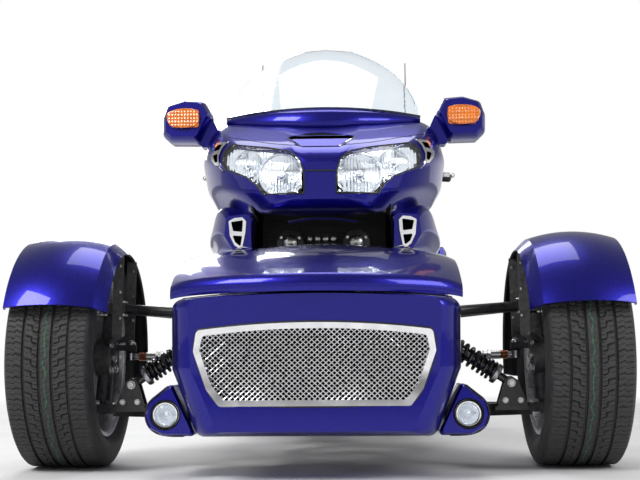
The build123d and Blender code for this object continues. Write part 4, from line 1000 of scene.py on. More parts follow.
def reflector_depth(x, z):
    """Depth of the bright housing behind the headlamp's lens."""
    deep = 0.013 + 0.0012 * abs(math.sin(x * 330))
    main, main_deep = bowl_depth(MAIN_BOWL, x, z)
    side, side_deep = bowl_depth(SIDE_BOWL, x, z)
    if main < 1.0:
        deep = main_deep
    elif main < 1.1:
        deep = 0.0105
    elif side < 1.0:
        deep = max(deep, side_deep)
    elif side < 1.1:
        deep = 0.0115
    return hit_y("headlamps", x, z, -0.885 + 0.55 * x) + deep


def faces_out(face):
    """Whether a face looks forwards and away from the fairing's middle line."""
    middle = face.calc_center_median()
    away = Vector((middle.x, -0.35, (middle.z - 0.84) * 0.5))
    return face.normal.y < -0.12 and face.normal.dot(away) > 0.05


def headlamp_lenses():
    """Thin clear sheet over the front of the headlamps, with a gasket round its edges."""
    bm = node_mesh("headlamps", 1e-5)
    bm.normal_update()
    bmesh.ops.delete(bm, geom=[f for f in bm.faces if not faces_out(f)], context="FACES")
    lens = new_object("headlamp_lenses", bpy.data.meshes.new("headlamp_lenses"))
    bm.to_mesh(lens.data)
    gasket = Form()
    for path in rim_loops(bm):
        if len(path) > 12:
            gasket.tube(even_path(path, GASKET_STEP), GASKET_RADIUS, 8, caps=False)
    bm.free()
    dress(lens, "glass")
    sheet(lens, LENS_THICK)
    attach(lens, "chassis")
    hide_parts("headlamps")
    gasket.make("headlamp_gaskets", "black_rubber", "seam")


def headlamp_housings():
    """Fluted bowls with their bulbs behind the headlamps' lenses."""
    form = Form()
    outline = round_corners(scaled(HEADLAMP, (0.165, 0.83), 1.035, 1.05))
    relief(form, outline, 0.0016, reflector_depth)
    for bowl, plain_y, deep, bulb in (
        (MAIN_BOWL, -0.82, 0.05, [(0.014, 0), (0.013, 0.016), (0.009, 0.022), (0, 0.024)]),
        (SIDE_BOWL, -0.77, 0.036, [(0.011, 0), (0.011, 0.01), (0.007, 0.016), (0, 0.017)]),
    ):
        x, z = bowl[:2]
        form.lathe((x, hit_y("headlamps", x, z, plain_y) + deep, z), FORWARDS, bulb, 24)
    form.mirrored()
    form.make("headlamp_housings", "chrome", "reflector", crease=50, replaces="headlamp_reflectors")


def fog_lamps():
    """Round lamps in the pods."""
    form = Form()
    form.lathe(FOG_LAMP, FORWARDS, FOG_CASE, 48)
    bowl = [(0.0255, 0.039)]
    for k in range(12):
        share = 1 - k / 12
        bowl.append((0.025 * share, 0.012 + 0.026 * share ** 2 + 0.0012 * (k % 2)))
    form.lathe(FOG_LAMP, FORWARDS, bowl, 20)
    form.lathe(FOG_LAMP + Vector((0, -0.012, 0)), FORWARDS, [(0.007, 0), (0.006, 0.014), (0, 0.018)], 16)
    form.lathe(FOG_LAMP, FORWARDS, FOG_GASKET, 48, mark=1)
    form.mirrored()
    form.make("fog_lamp_bowls", "bright_trim", "reflector seam", crease=40, replaces="fog_lamps")
    glass = Form()
    outer = [(0.0268, 0.040), (0.0268, 0.043), (0.018, 0.0475), (0.008, 0.0490), (0, 0.0492)]
    for profile in (outer, [(0.0268, 0.040), (0.018, 0.0455), (0.008, 0.047), (0, 0.0472)]):
        glass.lathe(FOG_LAMP, FORWARDS, profile, 40)
    glass.mirrored()
    glass.make("fog_lamp_lenses", "clear_lens", "glass")


def prism_net(x, z):
    """Front of the turn lamps: a net of small ridges."""
    ridge = abs(math.sin((x - 0.38) * 330)) + abs(math.sin((z - 1.0) * 300))
    return -0.6155 - 0.0011 * ridge


def turn_lamps():
    """Amber lenses with a net of small prisms behind a smooth edge."""
    outline = scaled(round_corners(TURN_LAMP), (0.4305, 1.03), 0.985, 0.985)
    form = Form()
    relief(form, outline, 0.0016, prism_net)
    form.ring(at_y(outline, -0.614), 0.0026)
    form.mirrored()
    form.make("turn_lamp_prisms", "amber_lens", "amber", crease=20)


def tail_lamps():
    """Ribs and bright edges on the red lamps."""
    form = Form()
    trim = Form()
    for rib_y, trim_y, x0, x1, z0, z1 in TAIL_LAMPS:
        for k in range(TAIL_RIBS):
            z = lerp(z0, z1, (k + 0.5) / TAIL_RIBS)
            form.tube(at_y([(x0, z), (x1, z)], rib_y), 0.0024, 6)
        x0, x1, z0, z1 = x0 - TRIM_EDGE, x1 + TRIM_EDGE, z0 - TRIM_EDGE, z1 + TRIM_EDGE
        path = round_corners([(x0, z0), (x1, z0), (x1, z1), (x0, z1)], 3)
        trim.ring(at_y(path, trim_y), 0.0032)
    form.mirrored()
    form.make("tail_lamp_ribs", "red_lens", "red")
    trim.mirrored()
    trim.make("tail_lamp_trims", "bright_trim", "chrome")


class TRIKE_OT_lamps(Operator):
    """Builds headlamp housings and lenses, fog lamps, and the details of turn and tail lamps"""

    bl_idname = "trike.lamps"
    bl_label = "Lamps"

    def execute(self, context):
        headlamp_housings()
        headlamp_lenses()
        fog_lamps()
        turn_lamps()
        tail_lamps()
        return {"FINISHED"}


# Fairing
SIDE_VENT = [
    (0.300, 0.852), (0.304, 0.883), (0.294, 0.908), (0.277, 0.930), (0.316, 0.932), (0.331, 0.915),
    (0.337, 0.897), (0.331, 0.877), (0.317, 0.859),
]
LOWER_VENT = [
    (0.277, 0.694), (0.260, 0.703), (0.235, 0.705), (0.224, 0.693), (0.226, 0.662), (0.235, 0.616),
    (0.241, 0.609), (0.260, 0.622), (0.273, 0.650),
]
SCOOP = [(-0.1, 0.927), (-0.091, 0.937), (0.091, 0.937), (0.1, 0.927), (0.053, 0.888), (-0.053, 0.888)]
CENTRE_SEAM = [(-0.041, 0.812), (0.041, 0.812)]
BROW_SEAM = [(0.050, 0.889), (0.146, 0.909), (0.262, 0.944), (0.338, 0.962)]
SCOOP_EDGE = [(0.0995, 0.9275), (0.0535, 0.8885)]
VENT_EDGE = [(0.276, 0.931), (0.2945, 0.909), (0.3045, 0.883), (0.2995, 0.851), (0.286, 0.835)]
VENT_CORNER = (
    (0.259, -0.720, 0.608), (0.232, -0.7215, 0.617), (0.209, -0.7205, 0.612), (0.232, -0.7195, 0.6065),
)
HORN = (0.1, 0.636)
HORN_DOME = ((0.021, -0.002), (0.021, 0.004), (0.016, 0.009), (0.008, 0.012), (0, 0.013))
SCREEN_ROWS = (
    # z, half width, side y, front y
    (1.034, 0.300, -0.560, -0.690),
    (1.160, 0.262, -0.450, -0.560),
    (1.250, 0.188, -0.375, -0.450),
    (1.314, 0.090, -0.318, -0.345),
)


def black_inside(node, hidden):
    """Gives the inner faces of a shell a black finish: hidden judges a face by place and normal."""
    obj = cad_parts[node]
    obj.data.materials.append(MATERIALS["black_plastic"])
    place = obj.matrix_world
    for face in obj.data.polygons:
        if hidden(place @ face.center, place.to_3x3() @ face.normal):
            face.material_index = 1


def cowl_inside(spot, normal):
    """Whether a face of the front cowl looks into it."""
    away = Vector((spot.x, 0, spot.z - 0.85)).normalized()
    return normal.dot(away) < -0.3 and normal.y > -0.2 or normal.y > 0.3 and abs(spot.x) < 0.34


def fender_inside(spot, normal):
    """Whether a face of a front fender looks at its tyre."""
    away = Vector((0, spot.y - FRONT_AXLE[0], spot.z - FRONT_AXLE[1])).normalized()
    return normal.dot(away) < -0.25


def crown_z(x, low):
    """Height of the scoop's arched upper edge over a base height."""
    return low + 0.0205 * (1 - (x / 0.1) ** 2)


def fairing_seams():
    """Black seams across the centre panel and above the headlamps."""
    seams = Form()
    seams.tube(laid_on("front_cowl", CENTRE_SEAM, 0.0006, -0.885), 0.0027, 6)
    for sign, _ in SIDES:
        seams.tube(laid_on("front_cowl", flipped(BROW_SEAM, sign), -0.0002, -0.6), 0.0011, 5)
    seams.make("fairing_seams", "black_rubber", "seam")


def vent_painted_shade():
    """Painted shade: near-black floors in the scoop and the vents, and a dark crescent laid on the cowl
    over the scoop.
    """
    shade_form = Form()
    floor = []
    for x, z in SCOOP:
        floor.append((x, hit_y("front_cowl", x * 1.08, 0.885 if z < 0.9 else 0.942, -0.8) + 0.036, z))
    shade_form.add(floor, [tuple(range(len(floor)))])
    # The crescent lies just in front of the cowl's surface: painted shade of the scoop's slot
    crown = []
    for share in (0, 0.5, 1):
        row = []
        for x in arc_points(-0.099, 0.099, 25):
            low = min(0.9372, 0.9272 + (0.0995 - abs(x)) * 1.1)
            z = lerp(low, max(crown_z(x, 0.9278), low + 0.0004), share)
            row.append((x, hit_y("front_cowl", x, z + 0.0003, -0.80) - 0.0007, z))
        crown.append(row)
    shade_form.grid(crown)
    for sign, _ in SIDES:
        side = [(x, hit_y("vent_surrounds", x, z, -0.68) + 0.016, z) for x, z in flipped(SIDE_VENT, sign)]
        for outline in (side, at_y(flipped(LOWER_VENT, sign), -0.697)):
            shade_form.add(outline, [tuple(range(len(outline)))])
    shade_form.make("vent_painted_shade", "black_plastic", "pit")


def scoop_floor():
    """Painted ramp into the scoop and its rolled upper lip."""
    floor = Form()
    rows = []
    for t in arc_points(0, 1, 5):
        half = lerp(0.052, 0.085, t)
        row = []
        for x in arc_points(-half, half, 15):
            y = hit_y("front_cowl", x, 0.887, -0.81)
            row.append((x, lerp(y + 0.0005, y + 0.028, t), lerp(0.890, 0.916, t)))
        rows.append(row)
    floor.grid(rows)
    lip = [(x, crown_z(x, 0.9288)) for x in arc_points(-0.1, 0.1, 15)]
    floor.tube(laid_on("front_cowl", lip, 0.0004, -0.77, steps=2), 0.0016, 6)
    floor.make("scoop_floor", "body_paint", "paint")


def fairing_brightwork():
    """Bright edges of the scoop and the vents."""
    trim = Form()
    for sign, _ in SIDES:
        trim.tube(laid_on("front_cowl", flipped(SCOOP_EDGE, sign), 0.0004, -0.8), 0.0023, 6)
        trim.tube(laid_on("front_cowl", flipped(VENT_EDGE, sign), 0.0022, -0.7), 0.0024, 8)
        trim.ring([(sign * x, y, z) for x, y, z in VENT_CORNER], 0.0019, 6)
    trim.make("fairing_brightwork", "bright_trim", "chrome")


def smooth_path(points, steps):
    """Smooth curve through points."""
    made = []
    for i in range(len(points) - 1):
        before, after = points[max(i - 1, 0)], points[min(i + 2, len(points) - 1)]
        here, there = points[i], points[i + 1]
        for t in (k / steps for k in range(steps)):
            bend = (2 * before - 5 * here + 4 * there - after) * t * t
            turn = (3 * here - before - 3 * there + after) * t ** 3
            made.append(0.5 * (2 * here + (there - before) * t + bend + turn))
    return [*made, points[-1]]


def screen_painted_highlight():
    """Opaque grey-blue bead round the windshield's free edge: a painted highlight of the edge."""
    edge = [Vector((half, side_y + 0.001, z)) for z, half, side_y, front_y in SCREEN_ROWS]
    z, half, side_y, front_y = SCREEN_ROWS[-1]
    left = smooth_path(edge, 8)
    arc = []
    for a in arc_points(0.2, math.pi - 0.2, 9):
        arc.append(Vector((half * math.cos(a), lerp(front_y, side_y, abs(math.cos(a))), z)))
    # The bead's colour is a painted highlight along the edge
    bead = Form()
    bead.tube(left + arc + [Vector((-p.x, p.y, p.z)) for p in reversed(left)], 0.0017, 6)
    bead.make("windshield_painted_highlight", "screen", "bead")


def screen_base():
    """Black strip along the windshield's base and the painted skirt under it."""
    z, half, side_y, front_y = SCREEN_ROWS[0]
    path = []
    for share in arc_points(-1, 1, 41):
        y = lerp(front_y, side_y, share * share) + 0.002
        path.append(Vector((half * share, y, z + 0.003)))
    strip = Form()
    strip.tube(path, 0.0036, 8)
    strip.make("windshield_seal", "black_rubber", "rubber")
    rows = [[], [], [], []]
    for point in path:
        foot = Vector((point.x, point.y - 0.020, 1.4))
        hit = surface("front_cowl").ray_cast(foot, Vector(DOWN))[0]
        foot.z = (hit.z if hit else 0.985) + 0.0008
        top = point - Vector((0, 0.0035, 0.001))
        for k, row in enumerate(rows):
            bulge = 0.004 * math.sin(math.pi * k / 3)
            row.append(foot.lerp(top, k / 3) + Vector((0, -bulge, bulge)))
    skirt = Form()
    skirt.grid(rows)
    sheet(skirt.make("windshield_garnish", "body_paint", "paint"), 0.002)


def opening_fittings():
    """Horn domes, a strip in body paint, and ducts in near-black painted shade in the dark opening under
    the fairing.
    """
    bar = Form()
    bar.tube([(x, -0.626, 0.712 - 1.1 * x * x) for x in arc_points(-0.105, 0.105, 15)], 0.0045, 8, flat=0.7)
    bar.make("opening_strip", "body_paint", "paint")
    duct = Form()
    dome = Form()
    for sign, _ in SIDES:
        rows = []
        for z in (0.585, 0.64, 0.70, 0.765):
            shares = arc_points(0, 1, 6)
            rows.append([(sign * lerp(0.190, 0.262, t), lerp(-0.560, -0.655, t ** 0.7), z) for t in shares])
        duct.grid(rows)
        x, z = sign * HORN[0], HORN[1]
        dome.lathe((x, -0.65, z), FORWARDS, HORN_DOME, 28)
        for a in turns(3):
            spot = (x + 0.031 * math.cos(a + 0.5), -0.638, z + 0.031 * math.sin(a + 0.5))
            dome.bolt(spot, FORWARDS, 0.004)
    # The ducts carry the near-black painted-shade finish
    sheet(duct.make("opening_shade_ducts", "black_plastic", "pit"), 0.002)
    for x in (-0.045, -0.02, 0.005, 0.03):
        dome.lathe((x, -0.566, 0.655), FORWARDS, [(0.009, 0), (0.008, 0.012), (0, 0.015)], 14)
    dome.make("horn_domes", "bright_trim", "zinc")


class TRIKE_OT_fairing(Operator):
    """Adds seams, scoop, vent linings and a crescent of painted shade, bright edges, windshield edges with
    a painted highlight and the dark opening
    """

    bl_idname = "trike.fairing"
    bl_label = "Fairing"

    def execute(self, context):
        black_inside("front_cowl", cowl_inside)
        for _, side in SIDES:
            black_inside(f"front_fender_{side}", fender_inside)
        fairing_seams()
        vent_painted_shade()
        scoop_floor()
        fairing_brightwork()
        screen_painted_highlight()
        screen_base()
        opening_fittings()
        return {"FINISHED"}


# Nose
SEAL_SIDE = [(0.2235, 0.176), (0.253, 0.2155), (0.284, 0.304), (0.2775, 0.354)]
POD = [
    (0.290, 0.103), (0.372, 0.103), (0.404, 0.120), (0.416, 0.150), (0.408, 0.184), (0.378, 0.207),
    (0.350, 0.230),
]


class TRIKE_OT_nose(Operator):
    """Adds black edge seals round the grille and the pods, and a black sheet of painted shadow under the
    hood's lip
    """

    bl_idname = "trike.nose"
    bl_label = "Nose"

    def execute(self, context):
        seal = Form()
        arc = [(x, 0.3725 - 0.0185 * (x / 0.2775) ** 2) for x in arc_points(0.26, -0.26, 21)]
        seal.ring(at_y(round_corners(SEAL_SIDE + arc + flipped(reversed(SEAL_SIDE))), -1.3405), 0.0034)
        pod = [(x + 0.0005, z) for x, z in round_corners(POD)]
        for sign, _ in SIDES:
            seal.ring(at_y(flipped(pod, sign), -1.2455), 0.0022)
        seal.make("nose_seals", "black_rubber", "seam")
        # Near-black sheet in the gap under the hood's lip: painted shadow
        gap = Form()
        rows = []
        for x in arc_points(-0.335, 0.335, 31):
            y = -1.352 + 0.115 * (x / 0.355) ** 2
            drop = 0.012 * (x / 0.335) ** 2
            rows.append([(x, y + 0.022, 0.4445 - drop), (x, y + 0.07, 0.452 - drop)])
        gap.grid(rows)
        gap.make("lip_painted_shadow", "black_rubber", "pit")
        return {"FINISHED"}


# Suspension
SHOCK_LOW = Vector((0.506, -0.948, 0.221))
SHOCK_HIGH = Vector((0.252, -0.948, 0.390))
SHOCK_EYE = (
    (0.015, -0.018), (0.0165, -0.016), (0.0165, 0.016), (0.015, 0.018), (0.008, 0.018), (0.008, -0.018),
    (0.015, -0.018),
)
SHOCK_ROD = ((0.011, 0.012), (0.011, 0.04), (0.0165, 0.042), (0.0165, 0.2), (0.0, 0.2))
SPRING_SEAT = ((0.018, 0.036), (0.026, 0.038), (0.028, 0.042), (0.028, 0.05), (0.018, 0.052))
# Radius, distance below the shock's upper eye
SHOCK_BODY = (
    (0.0, 0.075), (0.027, 0.075), (0.028, 0.07), (0.028, 0.06), (0.022, 0.055), (0.022, 0.022),
    (0.011, 0.014), (0.011, 0.008),
)
SPRING_TURNS = 12
COIL_RADIUS = 0.0238
WIRE_THICK = 0.0047
TURN_STEPS = 20
BOOT = ((0.0075, -0.001), (0.0135, 0.001), (0.0145, 0.0035), (0.0135, 0.005), (0.0075, 0.0052))
PIN_CAP = ((0.0125, 0), (0.0125, 0.006), (0.008, 0.009), (0.008, 0.014), (0, 0.014))
ROD_NUT = ((0.008, 0), (0.0165, 0), (0.0165, 0.009), (0.008, 0.009))


def smooth_ends(t):
    """Ramp whose two ends are flatter, like the closed coils of a spring."""
    return t - 0.035 * math.sin(2 * math.pi * t)


def spring_units():
    """Shocks with their eyes, spring seats and wound springs."""
    form = Form()
    axis = (SHOCK_HIGH - SHOCK_LOW).normalized()
    length = (SHOCK_HIGH - SHOCK_LOW).length
    for place in (SHOCK_LOW, SHOCK_HIGH):
        form.lathe(place, BACKWARDS, SHOCK_EYE, 28)
        for face in BOTH:
            form.bolt(place + Vector((0, face * 0.0265, 0)), (0, face, 0), 0.0095, mark=2)
    form.lathe(SHOCK_LOW, axis, SHOCK_ROD, 28)
    form.lathe(SHOCK_LOW, axis, SPRING_SEAT, 32, mark=1)
    form.lathe(SHOCK_LOW, axis, [(r, length - drop) for r, drop in SHOCK_BODY], 32)
    side = axis.orthogonal().normalized()
    other = axis.cross(side)
    last = SPRING_TURNS * TURN_STEPS
    path = []
    for k in range(last + 1):
        a = 2 * math.pi * k / TURN_STEPS
        at = lerp(0.053, length - 0.078, smooth_ends(k / last))
        path.append(SHOCK_LOW + axis * at + (side * math.cos(a) + other * math.sin(a)) * COIL_RADIUS)
    form.tube(path, WIRE_THICK, 8)
    form.mirrored()
    form.make("spring_units", "shock_black", "gloss_black brushed zinc", replaces="coil_shocks")


def arm_bolts():
    """Bolts of the arms, their ball joints and the shocks' brackets."""
    form = Form()
    for face in BOTH:
        along = (0, face, 0)
        form.bolts([0.228], [y + face * 0.033 for y in (-1.06, -0.74)], [0.15], along, 0.011)
        form.bolts([0.252], [y + face * 0.031 for y in (-1.02, -0.78)], [0.402], along, 0.010)
    form.bolts((0.566, 0.618), (-0.914, -0.886), [0.168], UP, 0.006)
    form.bolts((0.542, 0.592), (-0.913, -0.887), [0.444], UP, 0.006)
    form.bolts((0.542, 0.592), (-0.913, -0.887), [0.414], DOWN, 0.006)
    form.lathe((0.606, -0.9, 0.414), DOWN, [(0.02, 0), (0.02, 0.004), (0.015, 0.009), (0.0, 0.009)], 24)
    form.bolts((0.489, 0.529), [-0.9745], [0.176], FORWARDS, 0.0068)
    form.mirrored()
    form.make("arm_bolts", "bright_trim", "zinc")


def knuckle_parts(sign, side):
    """Bolts, boot and the tie rod's thread on one side."""
    inwards = (-sign, 0, 0)
    form = Form()
    form.bolts([sign * 0.5735], (-0.930, -0.870), (0.330, 0.262), inwards, 0.0085)
    form.bolt((sign * 0.5745, -0.900, 0.295), inwards, 0.013)
    form.bolts([sign * 0.5895], [-0.800], (0.268, 0.322), inwards, 0.007)
    form.bolts([sign * 0.5375], (-0.984, -0.816), (0.40, 0.47, 0.54), inwards, 0.006)
    form.lathe((sign * 0.545, -0.79, 0.331), UP, PIN_CAP, 20)
    form.make(f"knuckle_bolts_{side}", "bright_trim", "zinc", f"steer_{side}")
    boot = Form()
    boot.lathe((sign * 0.545, -0.79, 0.3135), DOWN, BOOT, 24)
    boot.make(f"ball_boot_{side}", "black_rubber", "rubber", f"tie_rod_{side}")
    rod = Form()
    start = Vector((sign * 0.522, -0.79, 0.2977))
    end = Vector((sign * 0.500, -0.79, 0.2973))
    along = (-sign, 0, -0.016)
    crests = [0.0112 if k % 2 else 0.0121 for k in range(23)]
    rod.tube([start.lerp(end, k / 22) for k in range(23)], crests, 14)
    rod.lathe(end, along, [(0.0, -0.001), (0.0128, -0.001), (0.0128, 0.024), (0.0, 0.024)], 20, mark=1)
    for x in (0.474, 0.4625):
        rod.lathe((sign * x, -0.79, 0.2966), along, ROD_NUT, 6, mark=1)
    rod.make(f"rod_thread_{side}", "alloy", "copper zinc", f"tie_rod_{side}")


class TRIKE_OT_suspension(Operator):
    """Winds the springs and adds bolts, collars, threads and boots to the front end"""

    bl_idname = "trike.suspension"
    bl_label = "Suspension"

    def execute(self, context):
        spring_units()
        arm_bolts()
        for sign, side in SIDES:
            knuckle_parts(sign, side)
        return {"FINISHED"}


# Engine
COOLING_RING = ((0.055, -0.0012), (0.071, -0.0012), (0.071, 0.0012), (0.055, 0.0012))
PLUG_CAP = ((0.0, 0.03), (0.009, 0.03), (0.012, 0.022), (0.012, 0.0), (0.016, -0.004))
TIP = ((0.034, 0), (0.034, 0.012), (0.037, 0.0165), (0.041, 0.0155), (0.0425, 0.009), (0.041, 0.0))
SILENCER = (0.268, 0.290)
SHIELDS = ((0.585, 0.70), (0.72, 0.835), (0.855, 0.97), (0.99, 1.105))


def engine_covers():
    """Ribs and bolts of the valve covers, cooling rings, plug caps and exhaust collars."""
    form = Form()
    for z in (0.362, 0.385, 0.408):
        form.box((0.3685, -0.15, z), (0.0045, 0.36, 0.009))
    for z, up in ((0.332, -0.25), (0.438, 0.25)):
        form.bolts([0.3505], (-0.362, -0.235, -0.065, 0.062), [z], (1, 0, up), 0.0065, mark=1)
    for y in (-0.295, -0.150, -0.005):
        for x in (0.304, 0.311, 0.318):
            form.lathe((x, y, 0.385), OUT, COOLING_RING, 40, mark=2)
        form.lathe((0.205, y + 0.04, 0.472), (0.2, 0, 1), PLUG_CAP, 20, mark=3)
        form.tube([(0.262, y + 0.045, 0.302), (0.262, y + 0.045, 0.289)], 0.027, 24, mark=1)
    form.mirrored()
    form.make("engine_covers", "chrome", "chrome zinc cast rubber")


def engine_bolts():
    """Bolts of the front cover and the crankcase."""
    form = Form()
    for a in turns(8):
        place = (0.112 * math.cos(a + 0.2), -0.4605, 0.330 + 0.112 * math.sin(a + 0.2))
        form.bolt(place, FORWARDS, 0.006)
    form.lathe((0, -0.4698, 0.33), FORWARDS, [(0.03, 0), (0.03, 0.004), (0.022, 0.006), (0, 0.006)], 6)
    for sign, _ in SIDES:
        form.bolts([sign * 0.166], arc_points(-0.40, 0.10, 9), [0.238], (sign, 0, 0), 0.006)
    form.make("engine_bolts", "bright_trim", "zinc")


def exhaust_shields():
    """Slotted heat shields over the silencers and rolled tips, each closed inside by a near-black disc of
    painted shade.
    """
    form = Form()
    x, z = SILENCER
    for y0, y1 in SHIELDS:
        rows = []
        for y, lift in ((y0, 0.0565), (y0 + 0.006, 0.0585), (y1 - 0.006, 0.0585), (y1, 0.0565)):
            arc = arc_points(-0.9, 1.3, 17)
            rows.append([(x + lift * math.cos(a), y, z + lift * math.sin(a)) for a in arc])
        form.grid(rows)
    form.mirrored()
    sheet(form.make("silencer_shields", "chrome", "brushed"), 0.0012)
    tip = Form()
    tip.lathe((x, 1.218, z), BACKWARDS, TIP, 48)
    # Near-black disc inside the tip: painted shade
    tip.lathe((x, 1.19, z), BACKWARDS, [(0.0, 0), (0.028, 0.0), (0.0335, 0.02)], 32, mark=1)
    tip.mirrored()
    tip.make("silencer_tips", "chrome", "chrome pit")


class TRIKE_OT_engine(Operator):
    """Adds ribs, bolts, cooling rings, plug caps and the exhaust's shields and tips"""

    bl_idname = "trike.engine"
    bl_label = "Engine"

    def execute(self, context):
        engine_covers()
        engine_bolts()
        exhaust_shields()
        return {"FINISHED"}


# Upholstery
PADS = (
    # name, low z, high z, voxel, most swell
    ("saddle_cushion", 0.0, 0.9, 0.007, 0.012),
    ("backrest_cushion", 0.9, 2.0, 0.006, 0.014),
)
CHANNELS = {
    # pad: axis across the channel, place, half width, depth
    "saddle_cushion": (
        (1, 0.345, 0.006, 0.005), (1, 0.420, 0.006, 0.005), (1, 0.556, 0.006, 0.006),
        (1, 0.690, 0.006, 0.005), (0, 0.118, 0.005, 0.005), (0, -0.118, 0.005, 0.005),
    ),
    "backrest_cushion": (
        (2, 0.952, 0.005, 0.005), (2, 1.020, 0.005, 0.005), (0, 0.125, 0.005, 0.005),
        (0, -0.125, 0.005, 0.005),
    ),
}
# Half width of the saddle's top edge: y, half width
SADDLE_EDGE = ((0.196, 0.075), (0.330, 0.140), (0.500, 0.150), (0.590, 0.160), (0.810, 0.160))
PAD_INSET = 0.004
PIPING_RADIUS = 0.0026
LAST_FRAME = 20


def islands(bm):
    """Connected groups of a mesh's vertices."""
    left = set(bm.verts)
    groups = []
    while left:
        front = [left.pop()]
        group = list(front)
        while front:
            vertex = front.pop()
            for other in [edge.other_vert(vertex) for edge in vertex.link_edges]:
                if other in left:
                    left.discard(other)
                    group.append(other)
                    front.append(other)
        groups.append(group)
    return groups


def press(pad, depth):
    """Moves a pad's surface inwards by what depth says for a place and its normal."""
    normals = [v.normal.copy() for v in pad.data.vertices]
    for vertex, normal in zip(pad.data.vertices, normals):
        vertex.co -= normal * depth(vertex.co, normal)


def blank_pad(name, low, high, voxel):
    """Even mesh of one pad, a little inside its solid."""
    bm = node_mesh("seat", 1e-6)
    for island in islands(bm):
        middle = sum(v.co.z for v in island) / len(island)
        if not low < middle < high:
            bmesh.ops.delete(bm, geom=island, context="VERTS")
    pad = new_object(name, bpy.data.meshes.new(name))
    bm.to_mesh(pad.data)
    bm.free()
    even = pad.modifiers.new("Even", "REMESH")
    even.mode = "VOXEL"
    even.voxel_size = voxel * 1
    graph = bpy.context.evaluated_depsgraph_get()
    made = bpy.data.meshes.new_from_object(pad.evaluated_get(graph))
    pad.modifiers.clear()
    pad.data = made
    press(pad, lambda place, normal: PAD_INSET)
    return pad


def blow_up(context, pads):
    """Swells the pads as cloth under pressure, each up to its own limit."""
    starts = [[v.co.copy() for v in pad.data.vertices] for pad, swell in pads]
    for pad, swell in pads:
        cloth = pad.modifiers.new("Cloth", "CLOTH")
        cloth.settings.use_pressure = True
        cloth.settings.uniform_pressure_force = 4.0
        cloth.settings.effector_weights.gravity = 0.0
        cloth.settings.quality = 4
        cloth.point_cache.frame_start = 1
        cloth.point_cache.frame_end = LAST_FRAME
    for number in range(1, LAST_FRAME + 1):
        context.scene.frame_set(number)
    graph = context.evaluated_depsgraph_get()
    for (pad, swell), start in zip(pads, starts):
        moved = [v.co.copy() for v in pad.evaluated_get(graph).data.vertices]
        pad.modifiers.clear()
        for vertex, old, new in zip(pad.data.vertices, start, moved):
            step = new - old
            if step.length > swell:
                step *= swell / step.length
            vertex.co = old + step
    context.scene.frame_set(1)


def sew(pad):
    """Presses the sewn channels into the side of a pad that faces the rider."""

    def depth(place, normal):
        faces_rider = normal.z > 0.25 if pad.name == "saddle_cushion" else normal.y < -0.3
        rows = CHANNELS[pad.name] if faces_rider else ()
        deep = 0.0
        for axis, middle, half, most in rows:
            gap = (place[axis] - middle) / half
            deep = max(deep, most * math.exp(-gap * gap * 0.7))
        return deep

    pad.data.update()
    press(pad, depth)


def half_at(y):
    """Half width of the saddle's top edge along its length."""
    for (y0, w0), (y1, w1) in zip(SADDLE_EDGE, SADDLE_EDGE[1:]):
        if y <= y1:
            return lerp(w0, w1, (y - y0) / (y1 - y0))
    return SADDLE_EDGE[-1][1]


def rounded(share):
    """Cosine or sine bent towards a square's outline."""
    return math.copysign(abs(share) ** 0.45, share)


def piping(saddle, backrest):
    """Piping along the saddle's sides and round the backrest's face."""
    cord = Form()
    tree = mesh_tree(saddle)
    for sign, _ in SIDES:
        path = []
        for y in arc_points(0.215, 0.795, 60):
            spot = tree.ray_cast(Vector((sign * half_at(y) * 0.93, y, 1.2)), Vector(DOWN))[0]
            if spot:
                path.append(spot + Vector((0, 0, 0.0008)))
        cord.tube(path, PIPING_RADIUS, 8)
    tree = mesh_tree(backrest)
    path = []
    for a in turns(80):
        start = Vector((0.165 * rounded(math.cos(a)), 0.6, 0.985 + 0.082 * rounded(math.sin(a))))
        spot = tree.ray_cast(start, Vector(BACKWARDS))[0]
        if spot:
            path.append(spot + Vector((0, 0.0004, 0)))
    cord.ring(path, PIPING_RADIUS)
    cord.make("saddle_piping", "seat_vinyl", "piping")


class TRIKE_OT_upholstery(Operator):
    """Blows up the saddle and the backrest as cloth and sews channels and piping on them"""

    bl_idname = "trike.upholstery"
    bl_label = "Upholstery"

    def execute(self, context):
        pads = [(blank_pad(*row[:4]), row[4]) for row in PADS]
        blow_up(context, pads)
        for pad, swell in pads:
            sew(pad)
            dress(pad, "vinyl")
            fine = pad.modifiers.new("Smooth", "SUBSURF")
            fine.levels = fine.render_levels = 1
            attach(pad, "chassis")
        saddle, backrest = [pad for pad, swell in pads]
        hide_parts("seat")
        piping(saddle, backrest)
        return {"FINISHED"}


# Controls
GRIP_START = Vector((0.300, -0.004, 0.948))
GRIP_END = Vector((0.440, 0.034, 0.944))
GRIP_RIBS = 26
LEVER_BALL = (
    (0.0, 0.0095), (0.005, 0.008), (0.0085, 0.003), (0.0095, -0.003), (0.0075, -0.009), (0.006, -0.013),
)
TICK_END = 0.0345
BEZEL = ((0.0415, -0.002), (0.0425, 0.001), (0.0415, 0.0045), (0.0385, 0.005), (0.037, 0.0015))
DIALS = (
    # x, needle's angle in degrees
    (-0.150, -100),
    (-0.052, -70),
    (0.052, 20),
    (0.150, -120),
)


def grips():
    """Ribbed rubber sleeves of the grips."""
    axis = (GRIP_END - GRIP_START).normalized()
    length = (GRIP_END - GRIP_START).length
    pitch = (length - 0.022) / GRIP_RIBS
    profile = [(0.0112, 0.0), (0.0172, 0.0), (0.0172, 0.006)]
    for k in range(GRIP_RIBS):
        base = lerp(0.008, length - 0.014, k / GRIP_RIBS)
        for r, share in ((0.0158, 0), (0.0171, 0.25), (0.0171, 0.75), (0.0158, 0.98)):
            profile.append((r, base + pitch * share))
    for r, left in ((0.0172, 0.012), (0.0172, 0.004), (0.0150, 0.0005), (0.0, 0.0005)):
        profile.append((r, length - left))
    form = Form()
    form.lathe(GRIP_START, axis, profile, 32)
    form.mirrored()
    form.make("grip_sleeves", "black_rubber", "rubber", "handlebar", replaces="hand_grips")


